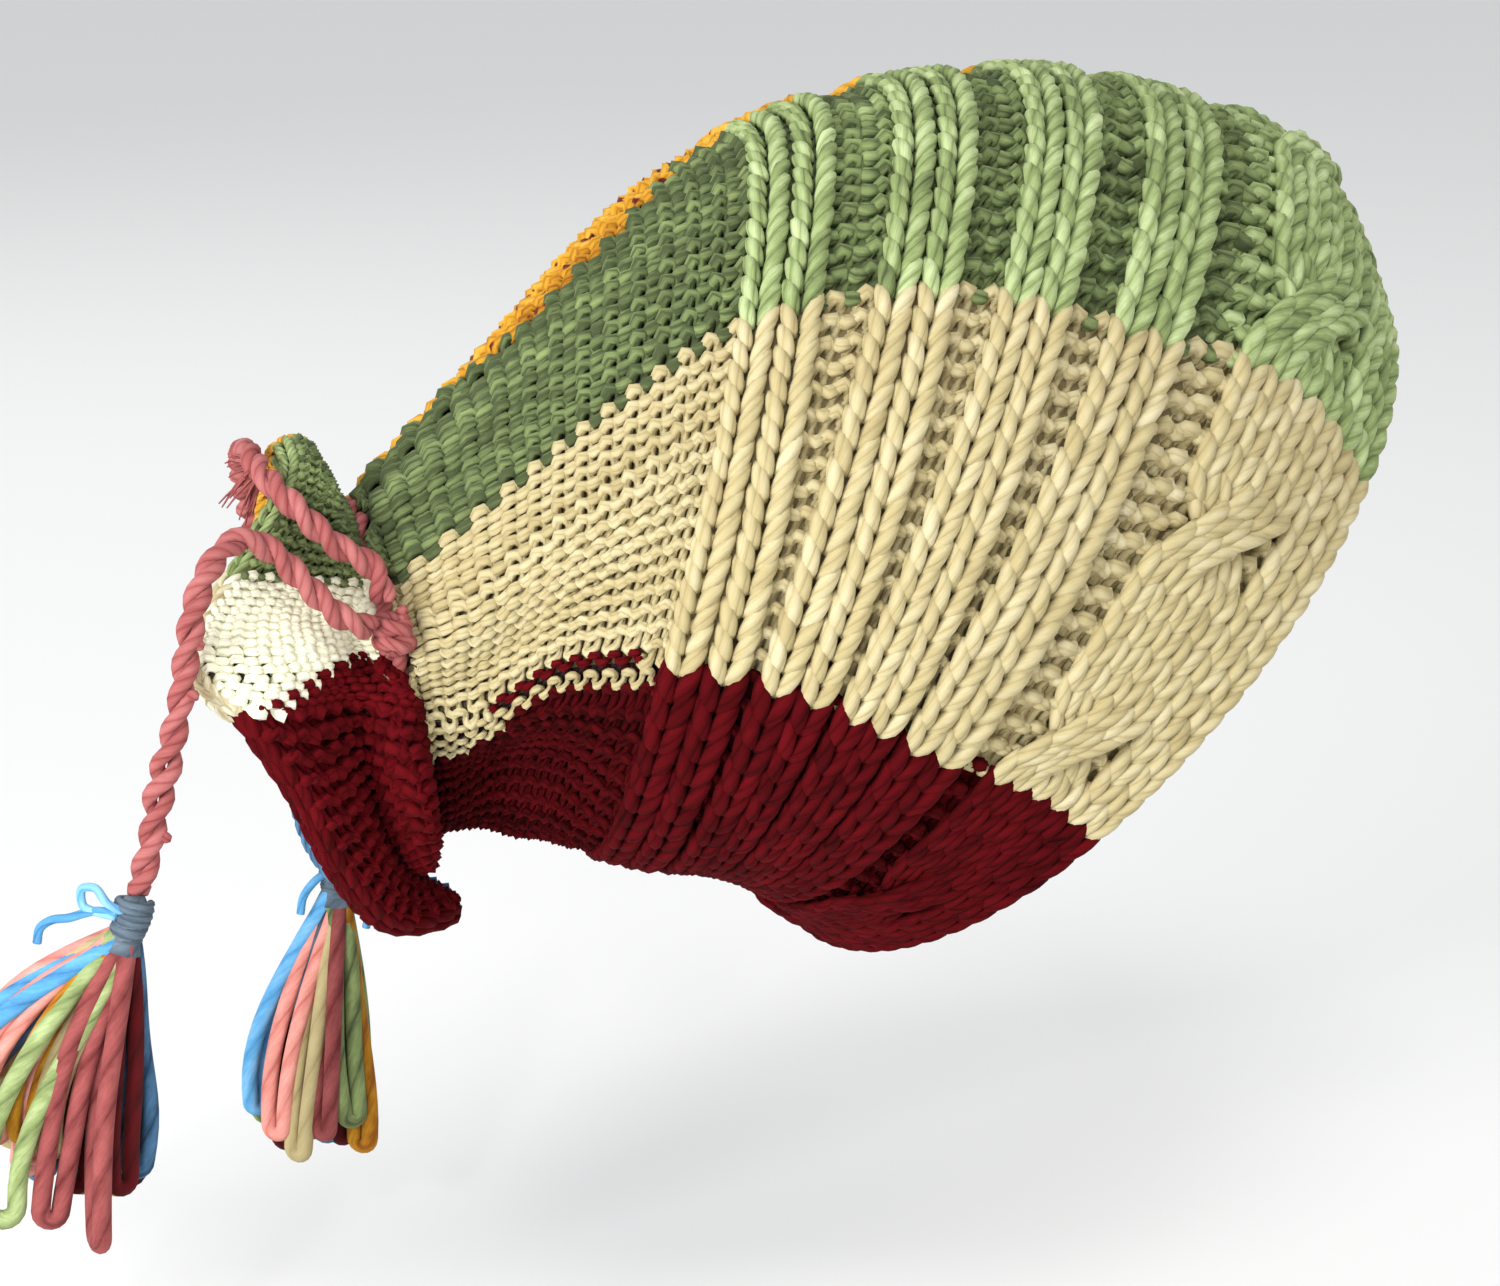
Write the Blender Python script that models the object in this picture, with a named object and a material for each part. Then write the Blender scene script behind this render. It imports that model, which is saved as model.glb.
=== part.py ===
"""A chunky hand-knitted ponytail cap: a tube of five colour blocks, gathered by a tied cord.

The tube is knitted sideways. Its wales run round it as rings, counted from the front rim to the edge of
the ruffle, and its rows run from front to back, counted round the tube from the top. The wearer faces
+X and the wearer's left is +Y. The origin is where the top of the head touches the inside of the cap.
"""
import math

import bmesh
import bpy
import numpy as np
from mathutils import Vector

MM = 0.001

# Driving sizes
CAP_LENGTH = 286 * MM      # front of the rim to the gathered neck, level
CAP_HEIGHT = 232 * MM      # nape to crown
CAP_WIDTH = 170 * MM       # across, at the temples
WALL = 5.0 * MM            # knitted fabric between the ribs
RIB_DEPTH = 3.5 * MM       # how far a rib stands above the fabric beside it
CABLE_RISE = 1.5 * MM      # how far a cable crossing stands above its rib
PIECE_GAP = 0.3 * MM       # left between two pieces that touch
CREASE_CLEARANCE = 0.5 * MM    # between the cord and the floor of the crease it lies in
CORD_DIAMETER = 6.5 * MM
CORD_GROOVE = CORD_DIAMETER + 2 * PIECE_GAP
NECK_GROOVE = 10.0 * MM    # depth of the crease that the cord pulls into the fabric
NECK_FABRIC = 5.0 * MM     # fabric under the cord
GATHER_DEPTH = 3.0 * MM    # depth of the pleats where the tail runs into the crease
RUFFLE_LENGTH = 56 * MM    # from the crease back to the tip of the longest lobe
RUFFLE_FLARE = 24 * MM     # outward, at the widest part of the ruffle's edge
KNOT_WIDTH = 16 * MM
KNOT_HEIGHT = 10 * MM
KNOT_DEPTH = 11 * MM
TASSEL_LENGTH = 84 * MM    # lock ends below the top of the wrapped head
TASSEL_HEAD_HEIGHT = 12 * MM   # the wrapped part of a tassel, down to its tie
TASSEL_HEAD_RADIUS = 5.5 * MM
TASSEL_SPREAD = 24 * MM    # from the middle line to the outer lock ends
LOCK_DIAMETER = 6.0 * MM

# Counts of the knitting and of the facets
ROWS = 80
BLOCK_ROWS = 16
GAP_SHARE = 0.6            # each block's share of the gap to its neighbour, a little over half
COLUMNS_PER_BLOCK = 8
ROWS_PER_PLEAT = 8
ROWS_PER_CABLE = 8
FIRST_CABLE_ROW = 5.7

# Wales where the parts of the tube begin and end
RIM_WALES = 2.0
BAND_END = 6.0
CABLE_SHOULDER = 0.5
RIB_STARTS = (8.0, 12.0, 16.0, 20.0)
RIB_WALES = 2.0
RIB_SHOULDER = 0.35
TAIL_START = 22.0
TAIL_SHOULDER = 3.0
TAIL_STATIONS = (24.0, 26.5, 29.0, 31.5, 33.5)
FOLD_FADE = 4.0
FOLD_LOSS = 0.6
GATHER_START = 28.0
LINING_TAPER = 5.0
NECK_WALE = 35.0

# The rings of the tube. Places along X are shares of CAP_LENGTH, places along Z of CAP_HEIGHT, half
# widths and centres along Y of CAP_WIDTH and the backward sweep of a ring's sides of CAP_LENGTH.
SECTION_COLUMNS = ("wale", "top_x", "top_z", "under_x", "under_z", "middle_y", "half_width", "yaw", "sweep")
SECTIONS = (
    (0.0,   0.390, -0.242, -0.218, -0.962, 0.000, 0.500,  2, 0.007),
    (3.0,   0.346, -0.104, -0.250, -0.924, 0.000, 0.500,  6, 0.014),
    (6.0,   0.266, -0.030, -0.280, -0.897, 0.000, 0.494,  9, 0.021),
    (8.0,   0.196, -0.004, -0.301, -0.879, 0.000, 0.494, 11, 0.028),
    (12.0,  0.066,  0.036, -0.329, -0.858, 0.012, 0.488, 14, 0.035),
    (16.0, -0.063,  0.044, -0.364, -0.843, 0.029, 0.465, 16, 0.035),
    (20.0, -0.203,  0.024, -0.413, -0.834, 0.059, 0.429, 18, 0.031),
    (22.0, -0.274, -0.004, -0.444, -0.821, 0.076, 0.400, 18, 0.028),
    (25.0, -0.352, -0.060, -0.479, -0.804, 0.106, 0.347, 18, 0.021),
    (28.0, -0.430, -0.133, -0.507, -0.787, 0.135, 0.294, 18, 0.014),
    (31.0, -0.508, -0.228, -0.533, -0.780, 0.165, 0.247, 18, 0.007),
    (35.0, -0.640, -0.378, -0.570, -0.798, 0.203, 0.188, 18, 0.000),
)

# Where the colour blocks meet, as angles round the tube in degrees from the top towards -Y
BOUNDARY_COLUMNS = ("wale", "gold_green", "green_cream", "cream_burgundy", "burgundy_blue", "blue_gold")
BOUNDARIES = (
    (0.0,  -16, 60, 121, 197, 262),
    (8.0,  -16, 60, 121, 196, 262),
    (12.0, -15, 58, 118, 194, 261),
    (16.0, -12, 55, 114, 192, 260),
    (22.0,  -8, 54, 108, 189, 258),
    (28.0,  -2, 58, 108, 188, 259),
    (33.5,  -6, 55, 109, 188, 261),
    (35.0,  -8, 53, 102, 187, 261),
    (36.0,  -8, 51,  96, 186, 260),
    (42.0,  -6, 44,  78, 186, 256),
)

# How round the backward sweep of a ring is at its top and underside, 0 for a sharp turn
SWEEP_ROUNDING = 0.06

# Long folds of the tail: the row and the wales they follow, their half width in rows, and their height
# as a share of WALL, upward or inward
FOLD_COLUMNS = ("row", "first_wale", "last_wale", "half_rows", "height")
FOLDS = (
    (22.5, 21.5, 36.0, 2.6,  1.0),
    (29.0, 24.0, 36.0, 3.0, -0.6),
    (38.0, 22.5, 34.5, 3.6, -1.9),
    (44.5, 25.0, 36.0, 2.6,  0.6),
    (11.0, 26.0, 36.0, 3.0, -0.7),
    (56.0, 24.0, 36.0, 4.0, -1.2),
    (66.0, 23.0, 36.0, 3.4,  0.9),
    (74.0, 25.0, 36.0, 3.2, -0.9),
)

# The ruffle's control points, in wales past the crease: its front lip, the two corners of its floor, its
# back lip, and the ridge, valley, lobe and edge of the table below
RUFFLE_WALES = (0.0, 0.15, 0.85, 1.0, 1.8, 3.0, 4.9, 7.0)
RIDGE_LINING = 0.35        # how far the inner face follows the ridge, as a share of the ridge's height

# The ruffle behind the crease, row by row. Distances back are shares of RUFFLE_LENGTH and distances out
# of RUFFLE_FLARE, both from the tube's last ring before the crease.
RUFFLE_COLUMNS = ("row", "ridge_out", "valley_out", "valley_back", "lobe_out", "lobe_back", "edge_out",
                  "edge_back")
RUFFLE = (
    (2,   0.30,  0.42, 0.17, 0.60, 0.19, 0.66, 0.25),
    (9,   0.26,  0.30, 0.19, 0.44, 0.23, 0.56, 0.32),
    (14,  0.10,  0.10, 0.26, 0.26, 0.42, 0.38, 0.56),
    (19,  0.00,  0.02, 0.31, 0.26, 0.55, 0.36, 0.80),
    (27, -0.10,  0.02, 0.32, 0.58, 0.66, 0.70, 0.96),
    (32,  0.22,  0.02, 0.30, 0.56, 0.58, 0.72, 0.82),
    (35,  0.40, -0.02, 0.28, 0.44, 0.50, 0.62, 0.64),
    (39,  0.42, -0.02, 0.27, 0.40, 0.38, 0.64, 0.50),
    (43,  0.38,  0.12, 0.23, 0.48, 0.24, 0.82, 0.30),
    (47,  0.26,  0.38, 0.17, 0.60, 0.08, 0.82, -0.04),
    (52,  0.18,  0.14, 0.24, 0.48, 0.30, 0.80, 0.32),
    (59,  0.24,  0.02, 0.27, 0.60, 0.40, 0.66, 0.50),
    (66,  0.20,  0.04, 0.27, 0.36, 0.42, 0.56, 0.48),
    (73,  0.24,  0.24, 0.20, 0.48, 0.25, 0.60, 0.32),
)

# Where the knot sits, as an angle round the crease, and how the crease opens for it
KNOT_ANGLE = 70.0
KNOT_NOTCH_ANGLE = 13.0
KNOT_NOTCH = 5.0 * MM
KNOT_FACETS = (12, 8)      # round it and along it

# Routes of the two free cord ends past the knot, in millimetres, and the way each leaves the knot. Each
# runs straight for STRAIGHT_START out of the knot and for STRAIGHT_END into its tassel.
STRAIGHT_START = 1.2 * CORD_DIAMETER
STRAIGHT_END = 2.0 * CORD_DIAMETER
NEAR_END_LEAVES = (-0.90, -0.10, 0.35)
NEAR_END_ROUTE = (
    (-213.5, 7.5, -104.0), (-220.5, 11.0, -95.5), (-228.0, 12.0, -91.5),
    (-236.5, 9.5, -94.5), (-243.5, 6.5, -102.5), (-247.5, 4.5, -113.5), (-250.5, 3.5, -127.0),
    (-254.0, 3.0, -139.0), (-258.0, 3.0, -152.0), (-260.4, 3.0, -163.0),
)
FAR_END_LEAVES = (-0.20, 0.15, 1.00)
FAR_END_ROUTE = (
    (-203.5, 11.5, -95.5), (-211.0, 16.5, -86.5), (-214.0, 26.0, -80.5),
    (-211.0, 42.0, -77.5), (-203.5, 61.0, -83.0), (-194.5, 77.0, -97.0), (-185.5, 87.5, -116.0),
    (-176.5, 91.5, -140.0), (-168.0, 92.0, -164.0), (-163.5, 91.5, -180.0), (-162.0, 91.0, -192.0),
)
NEAR_TASSEL_HANGS = (-0.26, 0.10, -0.96)
FAR_TASSEL_HANGS = (-0.04, 0.0, -1.0)

# The tassel from the top of its wrapped head down: distances below the top as shares of
# TASSEL_HEAD_HEIGHT, radii as shares of TASSEL_HEAD_RADIUS
SKIRT_COLUMNS = ("below", "radius")
SKIRT = ((0.00, 0.50), (0.15, 0.95), (0.42, 1.05), (0.70, 0.98), (0.95, 0.72), (1.16, 0.84),
         (1.61, 1.40), (2.03, 1.90))
LOCK_TOP = 1.60            # where the locks start inside the skirt, the same way
# The locks below the skirt: their place round it in turns, how far out they start and end as shares of
# TASSEL_SPREAD, and their length as a share of TASSEL_LENGTH
LOCK_COLUMNS = ("turn", "start", "end", "length")
LOCKS = (
    (0.00, 0.29, 0.86, 0.94), (0.14, 0.29, 0.74, 1.00), (0.29, 0.29, 0.80, 0.90), (0.43, 0.29, 0.96, 0.97),
    (0.57, 0.29, 0.78, 1.00), (0.71, 0.29, 0.88, 0.92), (0.86, 0.29, 0.72, 0.98), (0.50, 0.00, 0.10, 0.99),
)
SKIRT_SIDES = 14
LOCK_SIDES = 6
LOCK_RINGS = 6
LOCK_BEND = 1.3            # how late a lock curves outward
LOCK_TAPER = (0.8, 1.0, 0.6)   # a lock's thickness at its top, above its end and at its end

COLOURS = {
    "green": (0.27, 0.38, 0.12),
    "cream": (0.76, 0.67, 0.42),
    "burgundy": (0.11, 0.008, 0.015),
    "blue": (0.07, 0.16, 0.27),
    "gold": (0.55, 0.26, 0.02),
    "rose": (0.46, 0.09, 0.10),
    "mixed": (0.42, 0.20, 0.17),
}


def smooth_values(table, columns, place, period=None):
    """Each column of a table at the given places, on a smooth curve through its rows."""
    rows = np.array(table, dtype=float)
    if period:
        before, after = rows[-2:].copy(), rows[:2].copy()
        before[:, 0] -= period
        after[:, 0] += period
        rows = np.vstack([before, rows, after])
    at, values = rows[:, 0], rows[:, 1:]
    step = np.diff(at)[:, None]
    slope = np.diff(values, axis=0) / step
    tangent = np.vstack([slope[:1], (slope[:-1] * step[1:] + slope[1:] * step[:-1]) / (step[:-1] + step[1:]),
                         slope[-1:]])
    place = np.asarray(place, dtype=float)
    index = np.clip(np.searchsorted(at, place, side="right") - 1, 0, len(at) - 2)
    width = step[index]
    share = ((place - at[index])[..., None]) / width
    blended = ((2 * share**3 - 3 * share**2 + 1) * values[index] + (share**3 - 2 * share**2 + share) * width
               * tangent[index] + (3 * share**2 - 2 * share**3) * values[index + 1]
               + (share**3 - share**2) * width * tangent[index + 1])
    return {name: blended[..., column] for column, name in enumerate(columns[1:])}


def smooth_step(value, low, high):
    share = np.clip((value - low) / (high - low), 0, 1)
    return share * share * (3 - 2 * share)


def angle_of_row(wale, row):
    """The angle round the tube of a row of stitches, where it crosses a wale."""
    edges = smooth_values(BOUNDARIES, BOUNDARY_COLUMNS, wale)
    marks = [edges[name] for name in BOUNDARY_COLUMNS[1:]]
    marks.append(marks[0] + 360)
    block = np.clip(np.floor(row / BLOCK_ROWS).astype(int), 0, len(marks) - 2)
    first = np.choose(block, marks[:-1])
    last = np.choose(block, marks[1:])
    return np.radians(first + (last - first) * (row / BLOCK_ROWS - block))


def rib_lift(wale, row):
    """Ribs, cables, and the plain fabric between them, measured up from the plain fabric."""
    lift = np.zeros(np.broadcast(wale, row).shape)
    for start in RIB_STARTS:
        up = smooth_step(wale, start, start + RIB_SHOULDER)
        down = smooth_step(wale, start + RIB_WALES - RIB_SHOULDER, start + RIB_WALES)
        lift = lift + RIB_DEPTH * (up - down)
    rim = 1 - smooth_step(wale, RIM_WALES - RIB_SHOULDER, RIM_WALES)
    cable = (smooth_step(wale, RIM_WALES, RIM_WALES + CABLE_SHOULDER)
             - smooth_step(wale, BAND_END - CABLE_SHOULDER, BAND_END))
    crossing = 0.5 + 0.5 * np.cos(2 * np.pi * (row - FIRST_CABLE_ROW) / ROWS_PER_CABLE)
    lift = lift + RIB_DEPTH * rim + (RIB_DEPTH + CABLE_RISE * crossing) * cable
    return lift + RIB_DEPTH * smooth_step(wale, TAIL_START, TAIL_START + TAIL_SHOULDER)


def fold_lift(wale, row):
    """Long folds of the tail and the pleats that the cord gathers."""
    lift = np.zeros(np.broadcast(wale, row).shape)
    for middle, first, last, half, height in FOLDS:
        apart = (row - middle + ROWS / 2) % ROWS - ROWS / 2
        fades = 1 - FOLD_LOSS * smooth_step(wale, last - FOLD_FADE, last)
        along = smooth_step(wale, first, first + FOLD_FADE) * fades
        lift = lift + height * WALL * along * np.exp(-(apart / half) ** 2)
    pleat = 0.5 - 0.5 * np.cos(2 * np.pi * row / ROWS_PER_PLEAT)
    return lift - GATHER_DEPTH * smooth_step(wale, GATHER_START, NECK_WALE) * pleat


def ring_point(wale, angle, lift, back=0.0):
    """A point on the ring of a wale, lifted outward in the ring's plane and moved back along the tail."""
    ring = smooth_values(SECTIONS, SECTION_COLUMNS, np.minimum(wale, NECK_WALE))
    top = np.stack([ring["top_x"] * CAP_LENGTH, 0 * wale, ring["top_z"] * CAP_HEIGHT], -1)
    under = np.stack([ring["under_x"] * CAP_LENGTH, 0 * wale, ring["under_z"] * CAP_HEIGHT], -1)
    half_height = np.linalg.norm(top - under, axis=-1)[..., None] / 2
    upward = (top - under) / (2 * half_height)
    yaw = np.radians(ring["yaw"])
    side = np.stack([-np.sin(yaw), -np.cos(yaw), 0 * yaw], -1)
    half_width = ring["half_width"][..., None] * CAP_WIDTH
    middle = (top + under) / 2
    middle[..., 1] += ring["middle_y"] * CAP_WIDTH
    cosine, sine = np.cos(angle)[..., None], np.sin(angle)[..., None]
    lift = np.asarray(lift)[..., None]
    point = middle + (half_height + lift) * cosine * upward + (half_width + lift) * sine * side
    least, most = SWEEP_ROUNDING**0.5, (1 + SWEEP_ROUNDING) ** 0.5
    swept = (np.sqrt(sine[..., 0] ** 2 + SWEEP_ROUNDING) - least) / (most - least)
    point[..., 0] -= ring["sweep"] * CAP_LENGTH * swept
    behind = np.cross(side, upward)
    return point + np.asarray(back)[..., None] * behind


def knot_notch(angle):
    """How far the lips of the crease are pressed down beside the knot."""
    apart = (np.degrees(angle) - KNOT_ANGLE + 180) % 360 - 180
    return KNOT_NOTCH * np.exp(-(apart / KNOT_NOTCH_ANGLE) ** 2)


def ruffle_profile(row, angle, inner):
    """Distances out and distances back of the ruffle's control points at each row."""
    at = smooth_values(RUFFLE, RUFFLE_COLUMNS, row, period=ROWS)
    floor_start, floor_end = PIECE_GAP, PIECE_GAP + CORD_GROOVE
    ridge = at["ridge_out"] * RUFFLE_FLARE - knot_notch(angle)
    valley = at["valley_out"] * RUFFLE_FLARE
    valley_back = at["valley_back"] * RUFFLE_LENGTH
    lobe, lobe_back = at["lobe_out"] * RUFFLE_FLARE, at["lobe_back"] * RUFFLE_LENGTH
    edge, edge_back = at["edge_out"] * RUFFLE_FLARE, at["edge_back"] * RUFFLE_LENGTH
    same = np.ones_like(ridge)
    if not inner:
        crest = -knot_notch(angle)
        out = [crest, -NECK_GROOVE * same, -NECK_GROOVE * same, crest, ridge, valley, lobe, edge]
        back = [0 * same, floor_start * same, floor_end * same, (floor_end + PIECE_GAP) * same,
                (floor_end + valley_back) / 2, valley_back, lobe_back, edge_back]
        return out, back
    depth = NECK_GROOVE + NECK_FABRIC
    run_out, run_back = edge - valley, edge_back - valley_back
    run = np.hypot(run_out, run_back)
    in_out, in_back = -WALL * run_back / run, WALL * run_out / run
    lining = RIDGE_LINING * ridge - (1 - RIDGE_LINING) * depth
    out = [-depth * same, -depth * same, -depth * same, -depth * same, lining, valley - WALL,
           lobe + in_out, edge + in_out]
    back = [0 * same, floor_start * same, floor_end * same, (floor_end + PIECE_GAP) * same,
            (floor_end + valley_back) / 2 + WALL / 4, valley_back + WALL / 2, lobe_back + in_back,
            edge_back + in_back]
    return out, back


def ruffle_place(wale, row, angle, inner):
    """How far out and back the ruffle lies at one wale past the crease."""
    out, back = ruffle_profile(row, angle, inner)
    past = wale - NECK_WALE
    index = min(max(int(np.searchsorted(RUFFLE_WALES, past, side="right")) - 1, 0), len(RUFFLE_WALES) - 2)
    share = (past - RUFFLE_WALES[index]) / (RUFFLE_WALES[index + 1] - RUFFLE_WALES[index])
    return (out[index] + share * (out[index + 1] - out[index]),
            back[index] + share * (back[index + 1] - back[index]))


def cap_ring(wale, row, inner):
    """Points of the outer or the inner face of the cap along one wale."""
    row = np.asarray(row, dtype=float)
    wales = np.full_like(row, wale)
    angle = angle_of_row(wales, row)
    if wale > NECK_WALE:
        out, back = ruffle_place(wale, row, angle, inner)
        return ring_point(wales, angle, out, back)
    tail_end = smooth_step(wales, NECK_WALE - LINING_TAPER, NECK_WALE)
    if inner:
        depth = WALL + RIB_DEPTH + (NECK_GROOVE + NECK_FABRIC - WALL - RIB_DEPTH) * tail_end
        folds = fold_lift(wales, row) * (1 - tail_end)
        return ring_point(wales, angle, np.minimum(folds, 0) - depth)
    lift = rib_lift(wales, row) - RIB_DEPTH + fold_lift(wales, row) - knot_notch(angle) * tail_end**3
    return ring_point(wales, angle, lift)


def wale_stations():
    """The wales at which the facets of the cap begin and end."""
    band = [0.0, RIM_WALES - RIB_SHOULDER, RIM_WALES, RIM_WALES + CABLE_SHOULDER, BAND_END - CABLE_SHOULDER,
            BAND_END]
    ribs = []
    for start in RIB_STARTS:
        end = start + RIB_WALES
        ribs += [start, start + RIB_SHOULDER, end - RIB_SHOULDER, end]
    return band + ribs + list(TAIL_STATIONS) + [NECK_WALE + past for past in RUFFLE_WALES]


def block_rows(block):
    """Row numbers of one colour block's columns of facets."""
    return block * BLOCK_ROWS + np.linspace(0, BLOCK_ROWS, COLUMNS_PER_BLOCK + 1)


def narrowed(rows, wale):
    """The same rows with the outer two moved in, so that blocks keep a gap between them."""
    step = 0.05
    moved = rows.copy()
    for end, inward in ((0, 1), (-1, -1)):
        at = np.array([rows[end], rows[end] + inward * step])
        run = min(np.linalg.norm(np.diff(cap_ring(wale, at, inner), axis=0)) for inner in (False, True))
        moved[end] += inward * step * PIECE_GAP * GAP_SHARE / run
    return moved


def finished_mesh(name, mesh):
    """The built shape as mesh data, with its faces pointing out."""
    bmesh.ops.recalc_face_normals(mesh, faces=mesh.faces)
    if mesh.calc_volume(signed=True) < 0:
        bmesh.ops.reverse_faces(mesh, faces=mesh.faces)
    data = bpy.data.meshes.new(name)
    mesh.to_mesh(data)
    mesh.free()
    return data


def wall_mesh(name, block):
    """A colour block: an outer and an inner face over the same wales and rows, closed at its four edges."""
    stations = wale_stations()
    rows = block_rows(block)
    faces_of = {}
    mesh = bmesh.new()
    for inner in (False, True):
        grid = [[mesh.verts.new(point) for point in cap_ring(wale, narrowed(rows, wale), inner)]
                for wale in stations]
        faces_of[inner] = grid
    outer, inner = faces_of[False], faces_of[True]
    for wale in range(len(stations) - 1):
        for row in range(len(rows) - 1):
            mesh.faces.new([outer[wale][row], outer[wale][row + 1], outer[wale + 1][row + 1],
                            outer[wale + 1][row]])
            mesh.faces.new([inner[wale][row], inner[wale + 1][row], inner[wale + 1][row + 1],
                            inner[wale][row + 1]])
    for wale in range(len(stations) - 1):
        mesh.faces.new([outer[wale][0], outer[wale + 1][0], inner[wale + 1][0], inner[wale][0]])
        mesh.faces.new([outer[wale + 1][-1], outer[wale][-1], inner[wale][-1], inner[wale + 1][-1]])
    for row in range(len(rows) - 1):
        mesh.faces.new([outer[0][row + 1], outer[0][row], inner[0][row], inner[0][row + 1]])
        mesh.faces.new([outer[-1][row], outer[-1][row + 1], inner[-1][row + 1], inner[-1][row]])
    bmesh.ops.triangulate(mesh, faces=mesh.faces, quad_method="BEAUTY")
    return finished_mesh(name, mesh)


def material(name):
    made = bpy.data.materials.new(name)
    made.use_nodes = True
    shader = made.node_tree.nodes["Principled BSDF"]
    shader.inputs["Base Color"].default_value = (*COLOURS[name], 1)
    shader.inputs["Roughness"].default_value = 0.95
    shader.inputs["Metallic"].default_value = 0.0
    return made


def add_object(name, data, finish):
    made = bpy.data.objects.new(name, data)
    data.materials.append(finish)
    bpy.context.scene.collection.objects.link(made)
    return made


def crease_point(angle, out, back):
    """A point beside the crease, in metres out from its lips and back along the tail."""
    wale = np.array([NECK_WALE])
    return ring_point(wale, np.array([angle]), np.array([out]), np.array([back]))[0]


def loop_points():
    """The middle line of the cord where it lies in the crease, a point over each column of facets."""
    out = -NECK_GROOVE + CREASE_CLEARANCE + CORD_DIAMETER / 2
    back = PIECE_GAP + CORD_GROOVE / 2
    rows = np.arange(0, ROWS, BLOCK_ROWS / COLUMNS_PER_BLOCK)
    angles = angle_of_row(np.full_like(rows, NECK_WALE + 0.5), rows)
    return [crease_point(angle, out, back) for angle in angles]


def knot_frame():
    """The knot's middle and its three directions: along the crease, outward and back."""
    out = -NECK_GROOVE + CREASE_CLEARANCE + CORD_DIAMETER + KNOT_HEIGHT / 2
    back = PIECE_GAP + CORD_GROOVE / 2
    angle = math.radians(KNOT_ANGLE)
    middle = Vector(crease_point(angle, out, back))
    along = Vector(crease_point(angle + 0.02, out, back) - crease_point(angle - 0.02, out, back)).normalized()
    behind = Vector(crease_point(angle, out, back + MM) - crease_point(angle, out, back)).normalized()
    outward = behind.cross(along).normalized()
    if outward.dot(Vector(crease_point(angle, out + MM, back)) - middle) < 0:
        outward.negate()
    return middle, along, outward, behind


def knot_mesh(name):
    """The knot as one rounded lump."""
    middle, along, outward, behind = knot_frame()
    mesh = bmesh.new()
    around, along_it = KNOT_FACETS
    bmesh.ops.create_uvsphere(mesh, u_segments=around, v_segments=along_it, radius=0.5)
    for vertex in mesh.verts:
        local = vertex.co.copy()
        vertex.co = middle + along * local.z * KNOT_WIDTH + outward * local.x * KNOT_HEIGHT \
            + behind * local.y * KNOT_DEPTH
    return finished_mesh(name, mesh)


def knot_exit(leaves):
    """Where a cord end starts, clear of the knot, on the side towards the given direction."""
    middle, along, outward, behind = knot_frame()
    way = Vector(leaves).normalized()
    reach = math.sqrt((way.dot(along) * KNOT_WIDTH) ** 2 + (way.dot(outward) * KNOT_HEIGHT) ** 2
                      + (way.dot(behind) * KNOT_DEPTH) ** 2) / 2
    return middle + way * (reach + 2 * PIECE_GAP)


def smooth_route(points):
    """Evenly spaced points on a smooth curve through the route's own points."""
    points = np.array(points, dtype=float)
    along = np.concatenate([[0], np.cumsum(np.linalg.norm(np.diff(points, axis=0), axis=1))])
    table = np.column_stack([along, points])
    count = max(int(round(along[-1] / (2 * CORD_DIAMETER))), 4)
    at = smooth_values(table, ("along", "x", "y", "z"), np.linspace(0, along[-1], count + 1))
    return np.stack([at["x"], at["y"], at["z"]], -1)


def end_points(leaves, route, hangs):
    """The middle line of a free cord end, from the knot to the top of its tassel."""
    start = knot_exit(leaves)
    clear = start + Vector(leaves).normalized() * STRAIGHT_START
    middle = [Vector(point) * MM for point in route]
    last = middle[-1] + Vector(hangs).normalized() * STRAIGHT_END
    return smooth_route([tuple(point) for point in (start, clear, *middle, last)])


def cord_curve(name, points, closed):
    """A round cord along the given points."""
    curve = bpy.data.curves.new(name, "CURVE")
    curve.dimensions = "3D"
    curve.bevel_depth = CORD_DIAMETER / 2
    curve.bevel_resolution = 2
    curve.use_fill_caps = not closed
    spline = curve.splines.new("POLY")
    spline.points.add(len(points) - 1)
    for target, point in zip(spline.points, points):
        target.co = (*point, 1)
    spline.use_cyclic_u = closed
    return curve


def skirt_mesh(name):
    """The wrapped head of a tassel and the yarn just under it, turned round the Z axis."""
    mesh = bmesh.new()
    rings = []
    for below, radius in SKIRT:
        ring = []
        for side in range(SKIRT_SIDES):
            turn = 2 * math.pi * side / SKIRT_SIDES
            out = radius * TASSEL_HEAD_RADIUS
            height = -below * TASSEL_HEAD_HEIGHT
            ring.append(mesh.verts.new((out * math.cos(turn), out * math.sin(turn), height)))
        rings.append(ring)
    for upper, lower in zip(rings, rings[1:]):
        for side in range(SKIRT_SIDES):
            after = (side + 1) % SKIRT_SIDES
            mesh.faces.new([upper[side], lower[side], lower[after], upper[after]])
    mesh.faces.new(rings[0])
    mesh.faces.new(rings[-1])
    return finished_mesh(name, mesh)


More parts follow.
